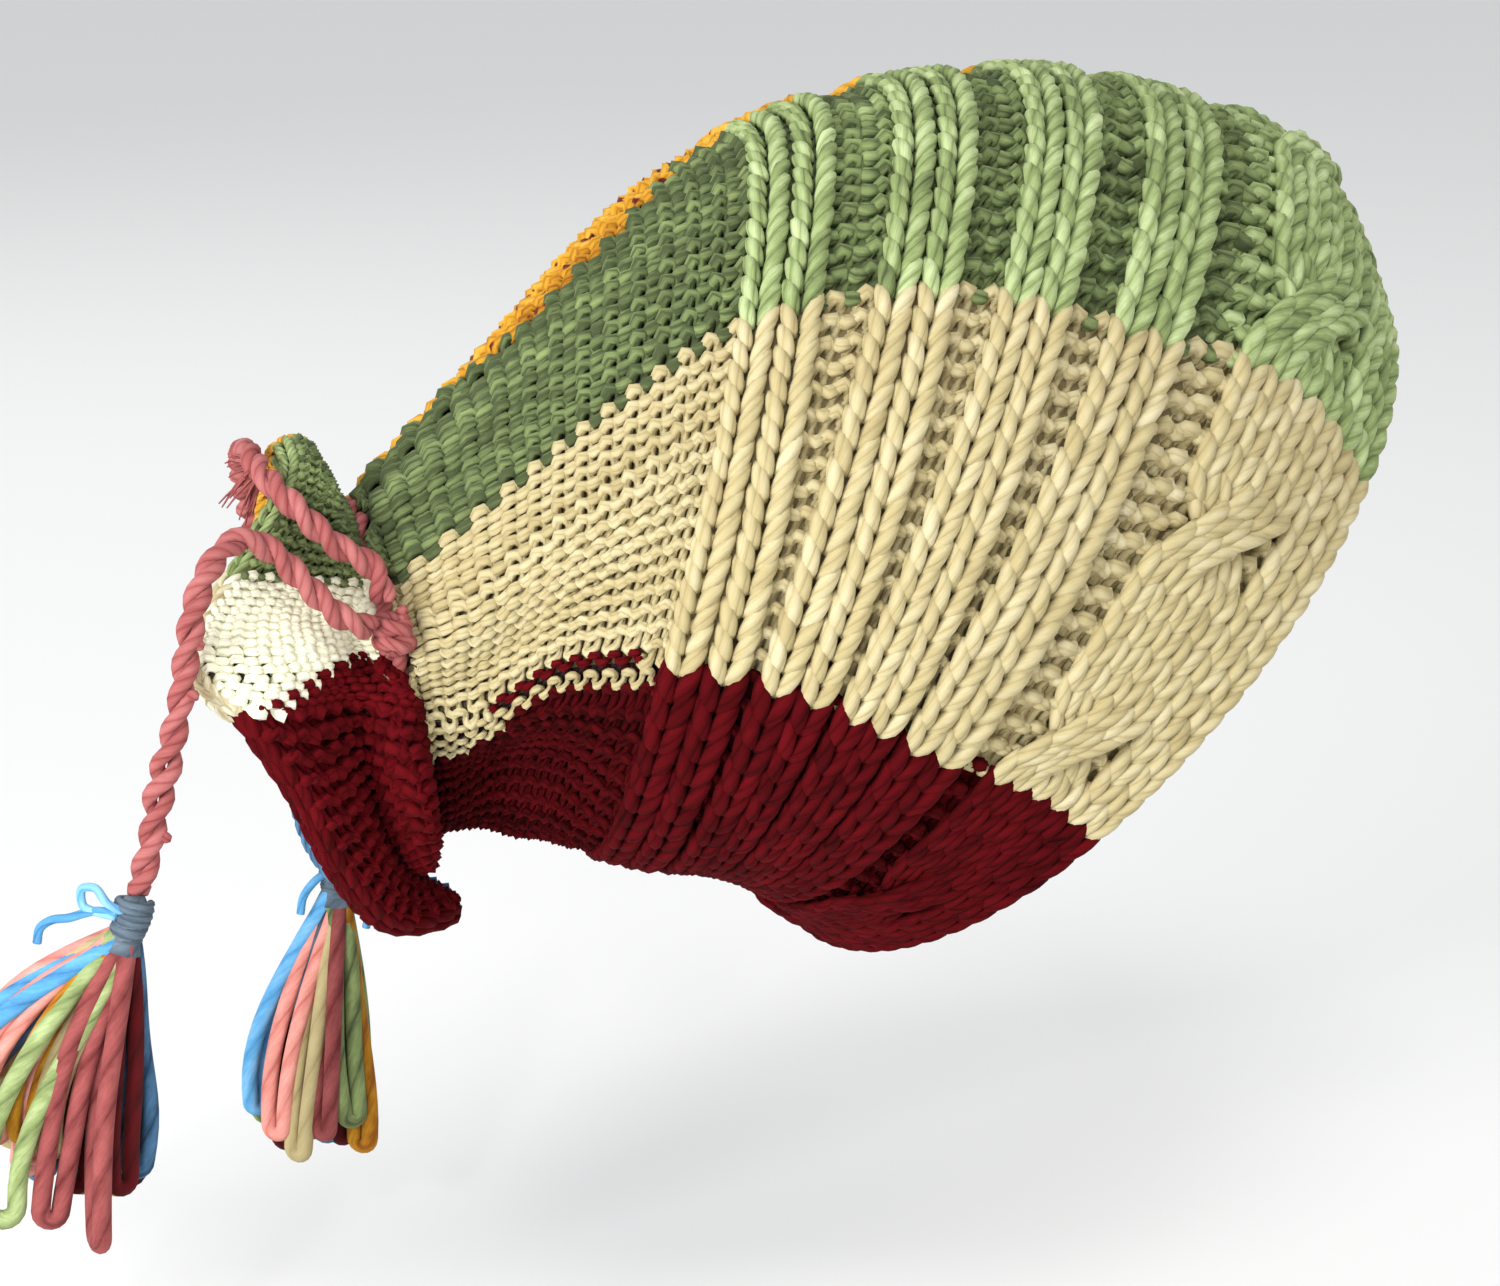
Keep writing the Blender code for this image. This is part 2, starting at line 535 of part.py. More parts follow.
def lock_mesh(name, turn, start, end, length):
    """One lock of yarn, from inside the skirt down to its rounded end."""
    top = -LOCK_TOP * TASSEL_HEAD_HEIGHT
    bottom = -length * TASSEL_LENGTH
    way = (math.cos(2 * math.pi * turn), math.sin(2 * math.pi * turn))
    mesh = bmesh.new()
    rings = []
    for step in range(LOCK_RINGS):
        share = step / (LOCK_RINGS - 1)
        out = TASSEL_SPREAD * (start + (end - start) * share ** LOCK_BEND)
        height = top + (bottom - top) * share
        first, last, tip = LOCK_TAPER
        radius = LOCK_DIAMETER / 2 * (tip if step == LOCK_RINGS - 1 else first + (last - first) * share)
        ring = []
        for side in range(LOCK_SIDES):
            round_it = 2 * math.pi * (side + 0.5) / LOCK_SIDES
            ring.append(mesh.verts.new((out * way[0] + radius * math.cos(round_it),
                                        out * way[1] + radius * math.sin(round_it), height)))
        rings.append(ring)
    for upper, lower in zip(rings, rings[1:]):
        for side in range(LOCK_SIDES):
            after = (side + 1) % LOCK_SIDES
            mesh.faces.new([upper[side], lower[side], lower[after], upper[after]])
    mesh.faces.new(rings[0])
    mesh.faces.new(rings[-1])
    return finished_mesh(name, mesh)


def add_tassel(name, points, hangs, turned):
    """A tassel under the end of a cord, its locks fused to its head."""
    way = Vector(hangs).normalized()
    last, before = Vector(points[-1]), Vector(points[-2])
    top = last + (last - before).normalized() * PIECE_GAP + way * PIECE_GAP / 2
    turn = Vector((0, 0, -1)).rotation_difference(way)
    tassel = add_object(name, skirt_mesh(name), material("mixed"))
    tassel.rotation_mode = "QUATERNION"
    for number, (place, start, end, length) in enumerate(LOCKS):
        shape = lock_mesh(name + "_lock", place + turned, start, end, length)
        lock = bpy.data.objects.new(name + "_lock", shape)
        lock.hide_render = True
        lock.display_type = "WIRE"
        bpy.context.scene.collection.objects.link(lock)
        lock.rotation_mode = "QUATERNION"
        lock.location, lock.rotation_quaternion = top, turn
        join = tassel.modifiers.new("lock_%d" % number, "BOOLEAN")
        join.operation = "UNION"
        join.object = lock
    tassel.location, tassel.rotation_quaternion = top, turn
    return tassel


def main():
    for old in list(bpy.data.objects):
        bpy.data.objects.remove(old, do_unlink=True)
    for block, colour in enumerate(("green", "cream", "burgundy", "blue", "gold")):
        add_object("panel_" + colour, wall_mesh("panel_" + colour, block), material(colour))
    rose = material("rose")
    add_object("drawstring_loop", cord_curve("drawstring_loop", loop_points(), True), rose)
    add_object("drawstring_knot", knot_mesh("drawstring_knot"), rose)
    near_points = end_points(NEAR_END_LEAVES, NEAR_END_ROUTE, NEAR_TASSEL_HANGS)
    far_points = end_points(FAR_END_LEAVES, FAR_END_ROUTE, FAR_TASSEL_HANGS)
    add_object("drawstring_near_end", cord_curve("drawstring_near_end", near_points, False), rose)
    add_object("drawstring_far_end", cord_curve("drawstring_far_end", far_points, False), rose)
    add_tassel("tassel_near", near_points, NEAR_TASSEL_HANGS, 0.03)
    add_tassel("tassel_far", far_points, FAR_TASSEL_HANGS, 0.31)


main()
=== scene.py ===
"""The looks of a chunky hand-knitted ponytail cap: its stitches, its tied cord and its two tassels.

The stitches lie on the same wales and rows as the solids: wales run round the tube and are counted from
the front rim, rows are counted round it from the top. Lengths are in metres.
"""

import math
from functools import partial

import bpy
import numpy as np
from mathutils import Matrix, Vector


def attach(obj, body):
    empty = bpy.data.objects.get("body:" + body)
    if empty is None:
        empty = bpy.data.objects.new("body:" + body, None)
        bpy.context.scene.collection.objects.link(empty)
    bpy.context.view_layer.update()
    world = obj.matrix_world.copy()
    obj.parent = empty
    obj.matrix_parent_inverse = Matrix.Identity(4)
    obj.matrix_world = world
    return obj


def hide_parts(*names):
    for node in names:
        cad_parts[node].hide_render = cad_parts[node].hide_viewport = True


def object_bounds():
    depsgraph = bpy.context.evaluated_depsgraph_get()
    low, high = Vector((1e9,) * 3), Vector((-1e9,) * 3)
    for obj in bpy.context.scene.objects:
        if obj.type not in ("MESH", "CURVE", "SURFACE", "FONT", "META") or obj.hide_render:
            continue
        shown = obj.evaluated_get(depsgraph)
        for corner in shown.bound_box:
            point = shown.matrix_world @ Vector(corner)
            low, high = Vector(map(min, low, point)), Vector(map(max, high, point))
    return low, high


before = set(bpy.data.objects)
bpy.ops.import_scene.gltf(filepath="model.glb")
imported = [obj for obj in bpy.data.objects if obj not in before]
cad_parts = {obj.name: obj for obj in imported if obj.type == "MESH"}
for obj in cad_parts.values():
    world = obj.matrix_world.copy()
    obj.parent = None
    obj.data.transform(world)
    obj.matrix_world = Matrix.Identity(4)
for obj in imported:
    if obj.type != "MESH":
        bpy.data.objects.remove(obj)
cad_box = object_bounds()

MM = 0.001

# Camera: the photograph's angle to the cap
CAMERA_AIM = Vector((-0.0719, 0.0217, -0.1431))
CAMERA_AZIMUTH = math.radians(-33)
CAMERA_ELEVATION = math.radians(15)
CAMERA_DISTANCE = 1.25
CAMERA_LENS = 111
UP = np.array([0.0, 0.0, 1.0])
IMAGE_LEFT = np.array([-math.cos(CAMERA_AZIMUTH), -math.sin(CAMERA_AZIMUTH), 0.0])
TOWARD = np.array([math.sin(CAMERA_AZIMUTH), -math.cos(CAMERA_AZIMUTH), 0.0])

# Sizes of the cap
CAP_LENGTH = 286 * MM
CAP_HEIGHT = 232 * MM
CAP_WIDTH = 170 * MM
WALL = 5 * MM
RIB_DEPTH = 3.5 * MM
CORD_DIAMETER = 6.5 * MM
PIECE_GAP = 0.3 * MM
CREASE_CLEARANCE = 0.5 * MM
NECK_GROOVE = 10 * MM
NECK_FABRIC = 5 * MM
GATHER_DEPTH = 3 * MM
RUFFLE_LENGTH = 56 * MM
RUFFLE_FLARE = 24 * MM
KNOT_HEIGHT = 10 * MM
FLOOR_END = 2 * PIECE_GAP + CORD_DIAMETER + PIECE_GAP  # how far back the floor of the crease reaches
PLAIN_DEPTH = RIB_DEPTH * 0.4  # how deep the ruffle's plain face lies in the solid
TAIL_RISE = RIB_DEPTH * 0.6  # how far the plain face rises at the start of the tail

# Wales and rows
ROWS = 80
BLOCK_ROWS = 16
ROWS_PER_PLEAT = 8
ROWS_PER_CABLE = 8
FIRST_CABLE_ROW = 5.7
BLOCKS = ("green", "cream", "burgundy", "blue", "gold")
RIM_WALES = 2
BAND_END = 6
RIB_STARTS = (8, 12, 16, 20)
RIB_WALES = 2
TAIL_START = 22
TAIL_SHOULDER = 3
FOLD_FADE = 4
FOLD_LOSS = 0.6
GATHER_START = 28
LINING_TAPER = 5
NECK_WALE = 35
SWEEP_ROUNDING = 0.06

# The tube's rings: wale, x and z of the top and of the underside, y of the middle, half width, yaw and sweep
SECTIONS = (
    (0, 0.39, -0.242, -0.218, -0.962, 0, 0.5, 2, 0.007),
    (3, 0.346, -0.104, -0.25, -0.924, 0, 0.5, 6, 0.014),
    (6, 0.266, -0.03, -0.28, -0.897, 0, 0.494, 9, 0.021),
    (8, 0.196, -0.004, -0.301, -0.879, 0, 0.494, 11, 0.028),
    (12, 0.066, 0.036, -0.329, -0.858, 0.012, 0.488, 14, 0.035),
    (16, -0.063, 0.044, -0.364, -0.843, 0.029, 0.465, 16, 0.035),
    (20, -0.203, 0.024, -0.413, -0.834, 0.059, 0.429, 18, 0.031),
    (22, -0.274, -0.004, -0.444, -0.821, 0.076, 0.4, 18, 0.028),
    (25, -0.352, -0.06, -0.479, -0.804, 0.106, 0.347, 18, 0.021),
    (28, -0.43, -0.133, -0.507, -0.787, 0.135, 0.294, 18, 0.014),
    (31, -0.508, -0.228, -0.533, -0.78, 0.165, 0.247, 18, 0.007),
    (35, -0.64, -0.378, -0.57, -0.798, 0.203, 0.188, 18, 0),
)
# Where the colours meet: wale, then the angles where green, cream, burgundy, blue and gold begin
BOUNDARIES = (
    (0, -16, 60, 121, 197, 262),
    (8, -16, 60, 121, 196, 262),
    (12, -15, 58, 118, 194, 261),
    (16, -12, 55, 114, 192, 260),
    (22, -8, 54, 108, 189, 258),
    (28, -2, 58, 108, 188, 259),
    (33.5, -6, 55, 109, 188, 261),
    (35, -8, 53, 102, 187, 261),
    (36, -8, 51, 96, 186, 260),
    (42, -6, 44, 78, 186, 256),
)
# Folds: row, first and last wale, half width in rows and height in thicknesses of the wall
FOLDS = (
    (22.5, 21.5, 36, 2.6, 1),
    (29, 24, 36, 3, -0.6),
    (38, 22.5, 34.5, 3.6, -1.9),
    (44.5, 25, 36, 2.6, 0.6),
    (11, 26, 36, 3, -0.7),
    (56, 24, 36, 4, -1.2),
    (66, 23, 36, 3.4, 0.9),
    (74, 25, 36, 3.2, -0.9),
)
RUFFLE_WALES = (0, 0.15, 0.85, 1, 1.8, 3, 4.9, 7)  # past the neck, of its control points
CREASE_STATIONS = 4  # how many of those are in the crease
RIDGE_LINING = 0.35
LEAN_STARTS = (24, 30)  # rows between which the ruffle's ridge begins to lean over the cord
LEAN_ENDS = (45, 51)
LEAN = 5 * MM
LEAN_LIFT = 2 * MM
# The ruffle: row, how far out its ridge lies, then how far out and back its valley, lobe and edge lie
RUFFLE = (
    (2, 0.3, 0.42, 0.17, 0.6, 0.19, 0.66, 0.25),
    (9, 0.26, 0.3, 0.19, 0.44, 0.23, 0.56, 0.32),
    (14, 0.1, 0.1, 0.26, 0.26, 0.42, 0.38, 0.56),
    (19, 0, 0.02, 0.31, 0.26, 0.55, 0.36, 0.8),
    (27, -0.1, 0.02, 0.32, 0.58, 0.66, 0.7, 0.96),
    (32, 0.22, 0.02, 0.3, 0.56, 0.58, 0.72, 0.82),
    (35, 0.4, -0.02, 0.28, 0.44, 0.5, 0.62, 0.64),
    (39, 0.42, -0.02, 0.27, 0.4, 0.38, 0.64, 0.5),
    (43, 0.38, 0.12, 0.23, 0.48, 0.24, 0.82, 0.3),
    (47, 0.26, 0.38, 0.17, 0.6, 0.08, 0.82, -0.04),
    (52, 0.18, 0.14, 0.24, 0.48, 0.3, 0.8, 0.32),
    (59, 0.24, 0.02, 0.27, 0.6, 0.4, 0.66, 0.5),
    (66, 0.2, 0.04, 0.27, 0.36, 0.42, 0.56, 0.48),
    (73, 0.24, 0.24, 0.2, 0.48, 0.25, 0.6, 0.32),
)
EDGE_WALE = NECK_WALE + RUFFLE_WALES[-1]
KNOT_ANGLE = 70
KNOT_NOTCH_ANGLE = 13
KNOT_NOTCH = 5 * MM

# The cord's free ends, from the knot to the top of each tassel
NEAR_ROUTE = (
    (-196.1, 4.6, -117.4), (-203, 4, -114.6), (-213.5, 7.5, -104), (-220.5, 11, -95.5),
    (-228, 12, -91.5), (-236.5, 9.5, -94.5), (-243.5, 6.5, -102.5), (-247.5, 4.5, -113.5),
    (-250.5, 3.5, -127), (-254, 3, -139), (-258, 3, -152), (-260.4, 3, -163),
    (-263.8, 4.3, -175.5),
)
FAR_ROUTE = (
    (-191.7, 6.6, -111.5), (-193.2, 7.7, -103.9), (-203.5, 11.5, -95.5), (-211, 16.5, -86.5),
    (-214, 26, -80.5), (-211, 42, -77.5), (-203.5, 61, -83), (-194.5, 77, -97),
    (-185.5, 87.5, -116), (-176.5, 91.5, -140), (-168, 92, -164), (-163.5, 91.5, -180),
    (-162, 91, -192), (-162.5, 91, -205),
)
NEAR_TASSEL_HANGS = Vector((-0.26, 0.10, -0.96)).normalized()
FAR_TASSEL_HANGS = Vector((-0.04, 0.0, -1.0)).normalized()

# Stitches
YARN_SHARE = 0.28  # yarn radius, as a share of the mean of a stitch's width and height
YARN_LEAST = 1.15 * MM
YARN_MOST = 2.7 * MM
ROW_JITTER = 0.03  # how unevenly the stitches lie, in rows and in wales
WALE_JITTER = 0.012
LEG_RINGS = 7
LEG_SIDES = 8
LEG_FOOT = 0.10  # wales between a leg's foot and the middle of its stitch
LEG_HEAD = 0.385  # and its head
LEG_BELOW = 0.42  # rows that a leg's foot reaches below its stitch
LEG_ABOVE = 0.25  # and that its head reaches above it
LEG_BEND = 0.9  # powers that set how it bends on its way across and how it arches
LEG_ARCH = 0.6
LEG_SINK = 0.85  # how far the two ends of a leg sink, in yarn radii
LEG_TIP = 0.55  # how thick they are, to its middle
RIB_SPREAD = 1.26  # how far a rib's stitches spread over the purl stitches beside it
RIB_CLOSED = 1.82  # and where the fabric isn't stretched
RIBS_CLOSE = (13, 33)  # rows between which the ribs close up, and those where they part again
RIBS_OPEN = (64, 78)
RIB_SWELL = 0.65  # how much thicker the yarn of closed ribs looks
RIB_LIFT = RIB_DEPTH + 0.9 * MM
RIM_LIFT = 0.6 * MM  # of the stitches that turn round the rim
PURL_STEPS = 12  # points along one purl stitch
PURL_SIDES = 6
PURL_SHARE = 0.98  # a purl stitch's yarn to a knit one's
PURL_WAIST = 0.28  # and how much thinner it is where it turns
PURL_SWING = 0.62  # rows that a purl loop swings up and down
PURL_LEAN = 0.10  # wales that its arcs lean over the loops beside it
PURL_RISE = 1.10  # how far its arcs stand out, in yarn radii
PURL_HEADS = -0.10  # and how much further the arcs toward the later rows do
PURL_LIFT = 0.6 * MM
TROUGH_LIFT = -0.6 * MM  # of the purl stitches between two ribs
TROUGH_STITCH = 0.95  # wales across one of them
TROUGH_LAP = 0.35  # wales that they reach under the ribs
GROUND_LIFT = 0.2 * MM  # of the purl stitches behind the cable
GROUND_STITCHES = 4.8
CABLE_REACH = 2  # rows over which the two strands of a cable change places
CABLE_OVER = 2.2 * MM
CABLE_UNDER = 1.6 * MM
LINING_WALES = 7  # wales of knit stitches inside the ruffle
LINING_START = 0.45  # wales past the ruffle's edge
LINING_LIFT = 1.6 * MM
EDGE_LIFT = 0.4 * MM  # of the lining's stitches that turn round the edge
EDGE_ROLL = 1.3  # wales that turn round the rim and the ruffle's edge
EDGE_RADIUS = 3.6 * MM
RUFFLE_START = NECK_WALE + 0.8
RUFFLE_STITCHES = 9
CLOTH_LIFT = -2.6 * MM  # of the cloth behind the plain stitches
CLOTH_RISE = RIB_DEPTH - 0.6 * MM  # how much further out it lies behind a rib
TONE_SPREAD = 0.16  # how much the tone of a yarn differs from the next one's
DEEPEST, PALEST = -0.4, 1.85  # how dark and how pale a course of the purl side may get, in tones, painted shade and painted light included

rng = np.random.default_rng(11)


def tangents(values, step):
    """The slopes, at each row of values, of a smooth curve through rows that lie a step apart."""
    slope = np.diff(values, axis=0) / step
    within = (slope[:-1] * step[1:] + slope[1:] * step[:-1]) / (step[:-1] + step[1:])
    return np.concatenate([slope[:1], within, slope[-1:]])


def piece_index(at, place):
    """The number of the piece of a curve that holds each place."""
    return np.clip(np.searchsorted(at, place, side="right") - 1, 0, len(at) - 2)


def blend(start, end, leaving, arriving, width, share):
    """The value at a share of a piece of a smooth curve, from its two ends and the slopes there."""
    return ((2 * share**3 - 3 * share**2 + 1) * start + (share**3 - 2 * share**2 + share) * width * leaving
            + (3 * share**2 - 2 * share**3) * end + (share**3 - share**2) * width * arriving)


def smooth_values(table, place, period=None):
    """Each further column of a table at places in its first one, on a smooth curve through its rows."""
    rows = np.array(table, dtype=float)
    if period:
        shift = period * np.eye(1, rows.shape[1])
        rows = np.vstack([rows[-2:] - shift, rows, rows[:2] + shift])
    at, values = rows[:, 0], rows[:, 1:]
    step = np.diff(at)[:, None]
    tangent = tangents(values, step)
    place = np.asarray(place, dtype=float)
    index = piece_index(at, place)
    share = (place - at[index])[..., None] / step[index]
    blended = blend(values[index], values[index + 1], tangent[index], tangent[index + 1], step[index], share)
    return np.moveaxis(blended, -1, 0)


def smooth_step(value, low, high):
    share = np.clip((value - low) / (high - low), 0, 1)
    return share * share * (3 - 2 * share)


def unit(vectors):
    return vectors / np.maximum(np.linalg.norm(vectors, axis=-1, keepdims=True), 1e-12)


def angle_of_row(wale, row):
    """The angle round the tube of a row of stitches, where it crosses a wale."""
    row = np.mod(row, ROWS)
    marks = [*smooth_values(BOUNDARIES, np.clip(wale, 0, BOUNDARIES[-1][0]))]
    marks.append(marks[0] + 360)
    block = np.clip(np.floor(row / BLOCK_ROWS).astype(int), 0, len(marks) - 2)
    first = np.choose(block, marks[:-1])
    last = np.choose(block, marks[1:])
    return np.radians(first + (last - first) * (row / BLOCK_ROWS - block))


def fold_lift(wale, row):
    """Long folds of the tail and the pleats that the cord gathers."""
    lift = 0
    for middle, first, last, half, height in FOLDS:
        apart = (row - middle + ROWS / 2) % ROWS - ROWS / 2
        fades = 1 - FOLD_LOSS * smooth_step(wale, last - FOLD_FADE, last)
        along = smooth_step(wale, first, first + FOLD_FADE) * fades
        lift = lift + height * WALL * along * np.exp(-(apart / half) ** 2)
    pleat = 0.5 - 0.5 * np.cos(math.tau * row / ROWS_PER_PLEAT)
    return lift - GATHER_DEPTH * smooth_step(wale, GATHER_START, NECK_WALE) * pleat


def ring_point(wale, angle, lift, back):
    """A point on the ring of a wale, lifted outward in the ring's plane and moved back along the tail."""
    top_x, top_z, under_x, under_z, middle_y, half_width, yaw, sweep = smooth_values(
        SECTIONS, np.clip(wale, 0, NECK_WALE))
    top, under = (np.stack([x * CAP_LENGTH, 0 * wale, z * CAP_HEIGHT], -1)
                  for x, z in ((top_x, top_z), (under_x, under_z)))
    half_height = np.linalg.norm(top - under, axis=-1)[..., None] / 2
    half_width = half_width[..., None] * CAP_WIDTH
    upward = (top - under) / (2 * half_height)
    yaw = np.radians(yaw)
    side = np.stack([-np.sin(yaw), -np.cos(yaw), 0 * yaw], -1)
    middle = (top + under) / 2
    middle[..., 1] += middle_y * CAP_WIDTH
    cosine, sine = np.cos(angle)[..., None], np.sin(angle)[..., None]
    lift = np.asarray(lift)[..., None]
    point = middle + (half_height + lift) * cosine * upward + (half_width + lift) * sine * side
    least, most = SWEEP_ROUNDING**0.5, (1 + SWEEP_ROUNDING) ** 0.5
    swept = (np.sqrt(sine[..., 0] ** 2 + SWEEP_ROUNDING) - least) / (most - least)
    point[..., 0] -= sweep * CAP_LENGTH * swept
    return point + np.asarray(back)[..., None] * np.cross(side, upward)


def knot_notch(angle):
    """How far the lips of the crease are pressed down beside the knot."""
    apart = (np.degrees(angle) - KNOT_ANGLE + 180) % 360 - 180
    return KNOT_NOTCH * np.exp(-(apart / KNOT_NOTCH_ANGLE) ** 2)


def ruffle_place(wale, row, angle, inner):
    """How far out and back the ruffle lies, on a smooth curve through its control points."""
    turned = np.mod(row, ROWS)
    shares = smooth_values(RUFFLE, turned, period=ROWS)
    ridge = shares[0] * RUFFLE_FLARE - knot_notch(angle)
    valley, lobe, edge = shares[1::2] * RUFFLE_FLARE
    valley_back, lobe_back, edge_back = shares[2::2] * RUFFLE_LENGTH
    same = np.ones_like(ridge)
    crease_back = [0 * same, PIECE_GAP * same, FLOOR_END * same]
    slope_back = (FLOOR_END + valley_back) / 2
    if inner:
        depth = NECK_GROOVE + NECK_FABRIC
        run_out, run_back = edge - valley, edge_back - valley_back
        run = np.hypot(run_out, run_back)
        in_out, in_back = -WALL * run_back / run, WALL * run_out / run
        lining = RIDGE_LINING * ridge - (1 - RIDGE_LINING) * depth
        out = [-depth * same] * 4 + [lining, valley - WALL, lobe + in_out, edge + in_out]
        back = [*crease_back, (FLOOR_END + PIECE_GAP) * same, slope_back + WALL / 4,
                valley_back + WALL / 2, lobe_back + in_back, edge_back + in_back]
    else:
        crest = -knot_notch(angle) - PLAIN_DEPTH
        lean = smooth_step(turned, *LEAN_STARTS) - smooth_step(turned, *LEAN_ENDS)
        out = [crest, -NECK_GROOVE * same, -NECK_GROOVE * same, crest + LEAN_LIFT * lean,
               ridge - PLAIN_DEPTH, valley - PLAIN_DEPTH, lobe - PLAIN_DEPTH, edge]
        back = [*crease_back, FLOOR_END + PIECE_GAP - LEAN * lean, slope_back - LEAN * lean, valley_back,
                lobe_back, edge_back]
    stations = np.array(RUFFLE_WALES)
    past = np.clip(wale - NECK_WALE, 0, stations[-1])
    index = piece_index(stations, past)
    step = np.diff(stations)
    share = (past - stations[index]) / step[index]
    found = []
    for values in (np.stack(out), np.stack(back)):
        tangent = tangents(values, step[:, None])
        tangent[:CREASE_STATIONS] = 0
        column = np.arange(values.shape[1])
        found.append(blend(values[index, column], values[index + 1, column], tangent[index, column],
                           tangent[index + 1, column], step[index], share))
    return found


def face(wale, row, inner=False):
    """The outer face of the plain fabric, or the inner face, between the rim and the ruffle's edge."""
    angle = angle_of_row(wale, row)
    folds = fold_lift(wale, row)
    tail_end = smooth_step(wale, NECK_WALE - LINING_TAPER, NECK_WALE)
    if inner:
        depth = WALL + RIB_DEPTH + (NECK_GROOVE + NECK_FABRIC - WALL - RIB_DEPTH) * tail_end
        before = np.minimum(folds * (1 - tail_end), 0) - depth
    else:
        tail = TAIL_RISE * smooth_step(wale, TAIL_START, TAIL_START + TAIL_SHOULDER)
        before = tail - RIB_DEPTH + folds - knot_notch(angle) * tail_end**3
    out, back = ruffle_place(wale, row, angle, inner)
    past = wale > NECK_WALE
    return ring_point(wale, angle, np.where(past, out, before), np.where(past, back, 0.0))


def face_frame(wale, row):
    """Point, direction across the wales, outward normal and stitch size of the plain fabric."""
    small = 0.04
    inside = np.clip(wale, small, EDGE_WALE - small)
    across = (face(inside + small, row) - face(inside - small, row)) / (2 * small)
    along = (face(inside, row + small) - face(inside, row - small)) / (2 * small)
    normal = unit(np.cross(across, along))
    size = np.sqrt(np.linalg.norm(across, axis=-1) * np.linalg.norm(along, axis=-1))
    return face(inside, row), unit(across), normal, size


def fabric(wale, row, lift):
    """Points lifted off the fabric, their normals and the local stitch size. Past the rim and past the
    ruffle's edge the fabric turns round to its other face."""
    wale, row, lift = np.broadcast_arrays(wale, row, lift)
    shape = wale.shape
    wale, row, lift = wale.ravel(), row.ravel(), lift.ravel()
    point, across, normal, size = face_frame(wale, row)
    for past, forward in ((-wale, -across), (wale - EDGE_WALE, across)):
        turning = (past > 0)[:, None]
        if not turning.any():
            continue
        turn = (np.minimum(past / EDGE_ROLL, 1) * math.pi)[:, None]
        rolled = np.cos(turn) * normal + np.sin(turn) * forward
        on_edge = point - normal * EDGE_RADIUS + rolled * EDGE_RADIUS
        further = np.maximum(past - EDGE_ROLL, 0)
        turned = (further > 0)[:, None]
        if forward is across and turned.any():
            mirrored, _, upright, _ = face_frame(np.clip(EDGE_WALE - further, 0, EDGE_WALE), row)
            on_edge = np.where(turned, mirrored - 2 * EDGE_RADIUS * upright, on_edge)
            rolled = np.where(turned, -upright, rolled)
        point, normal = np.where(turning, on_edge, point), np.where(turning, rolled, normal)
    lifted = point + normal * lift[:, None]
    return lifted.reshape(*shape, 3), normal.reshape(*shape, 3), size.reshape(shape)


def distance_along(points, axis=0):
    """The distance of each point from the start of its line."""
    run = np.cumsum(np.linalg.norm(np.diff(points, axis=axis), axis=-1), axis=axis)
    return np.insert(run, 0, 0, axis=axis)


def tube_part(paths, normals, radii, sides, tone):
    """Capped tubes along paths of shape (tubes, rings, 3): vertices, faces and yarn coordinates. A yarn
    coordinate holds the turn round the yarn, the distance along it and its tone, into which any painted
    light or shade is added."""
    count, rings, _ = paths.shape
    tangent = unit(np.gradient(paths, axis=1))
    side = unit(np.cross(tangent, normals))
    up = np.cross(side, tangent)
    turn = math.tau * np.arange(sides) / sides
    spoke = -np.cos(turn)[:, None] * up[:, :, None, :] + np.sin(turn)[:, None] * side[:, :, None, :]
    vertices = (paths[:, :, None, :] + radii[:, :, None, None] * spoke).reshape(-1, 3)
    along = distance_along(paths, axis=1) + rng.uniform(0, 1, (count, 1))
    tube, ring, spot = np.meshgrid(np.arange(count), np.arange(rings - 1), np.arange(sides), indexing="ij")
    after = (spot + 1) % sides
    first = (tube * rings + ring) * sides
    quads = np.stack([first + spot, first + sides + spot, first + sides + after, first + after], -1)
    turns = np.stack([spot, spot, spot + 1, spot + 1], -1) / sides
    here, there = along[tube, ring], along[tube, ring + 1]
    lengths = np.stack([here, there, there, here], -1)
    yarn = np.stack([turns, lengths, np.repeat(tone[tube][..., None], 4, -1)], -1)
    base = np.arange(count)[:, None] * rings * sides
    caps = np.concatenate([base + np.arange(sides), base + (rings - 1) * sides + np.arange(sides)[::-1]])
    ends = np.concatenate([along[:, 0], along[:, -1]])
    cap_yarn = np.repeat(np.stack([0 * ends, ends, np.tile(tone, 2)], -1)[:, None], sides, 1)
    return vertices, [(quads.reshape(-1, 4), yarn.reshape(-1, 4, 3)), (caps, cap_yarn)]


def yarn_part(path, facing, radius, sides, shade=0.0):
    """One yarn along a path. Its turn starts from the side that it faces."""
    normals, radii = np.broadcast_to(facing, path.shape), np.broadcast_to(radius, len(path))
    return tube_part(path[None], normals[None], radii[None], sides, tones(1) - shade)


def grid_part(points, places):
    """A sheet of quads over points of shape (wales, rows, 3), each with its wale and row."""
    wales, rows, _ = points.shape
    wale, row = np.meshgrid(np.arange(wales - 1), np.arange(rows - 1), indexing="ij")
    first = wale * rows + row
    quads = np.stack([first, first + rows, first + rows + 1, first + 1], -1).reshape(-1, 4)
    return points.reshape(-1, 3), [(quads, places.reshape(-1, 3)[quads])]


def placed(name, data):
    """An object of its own in the scene."""
    thing = bpy.data.objects.new(name, data)
    bpy.context.scene.collection.objects.link(thing)
    return thing


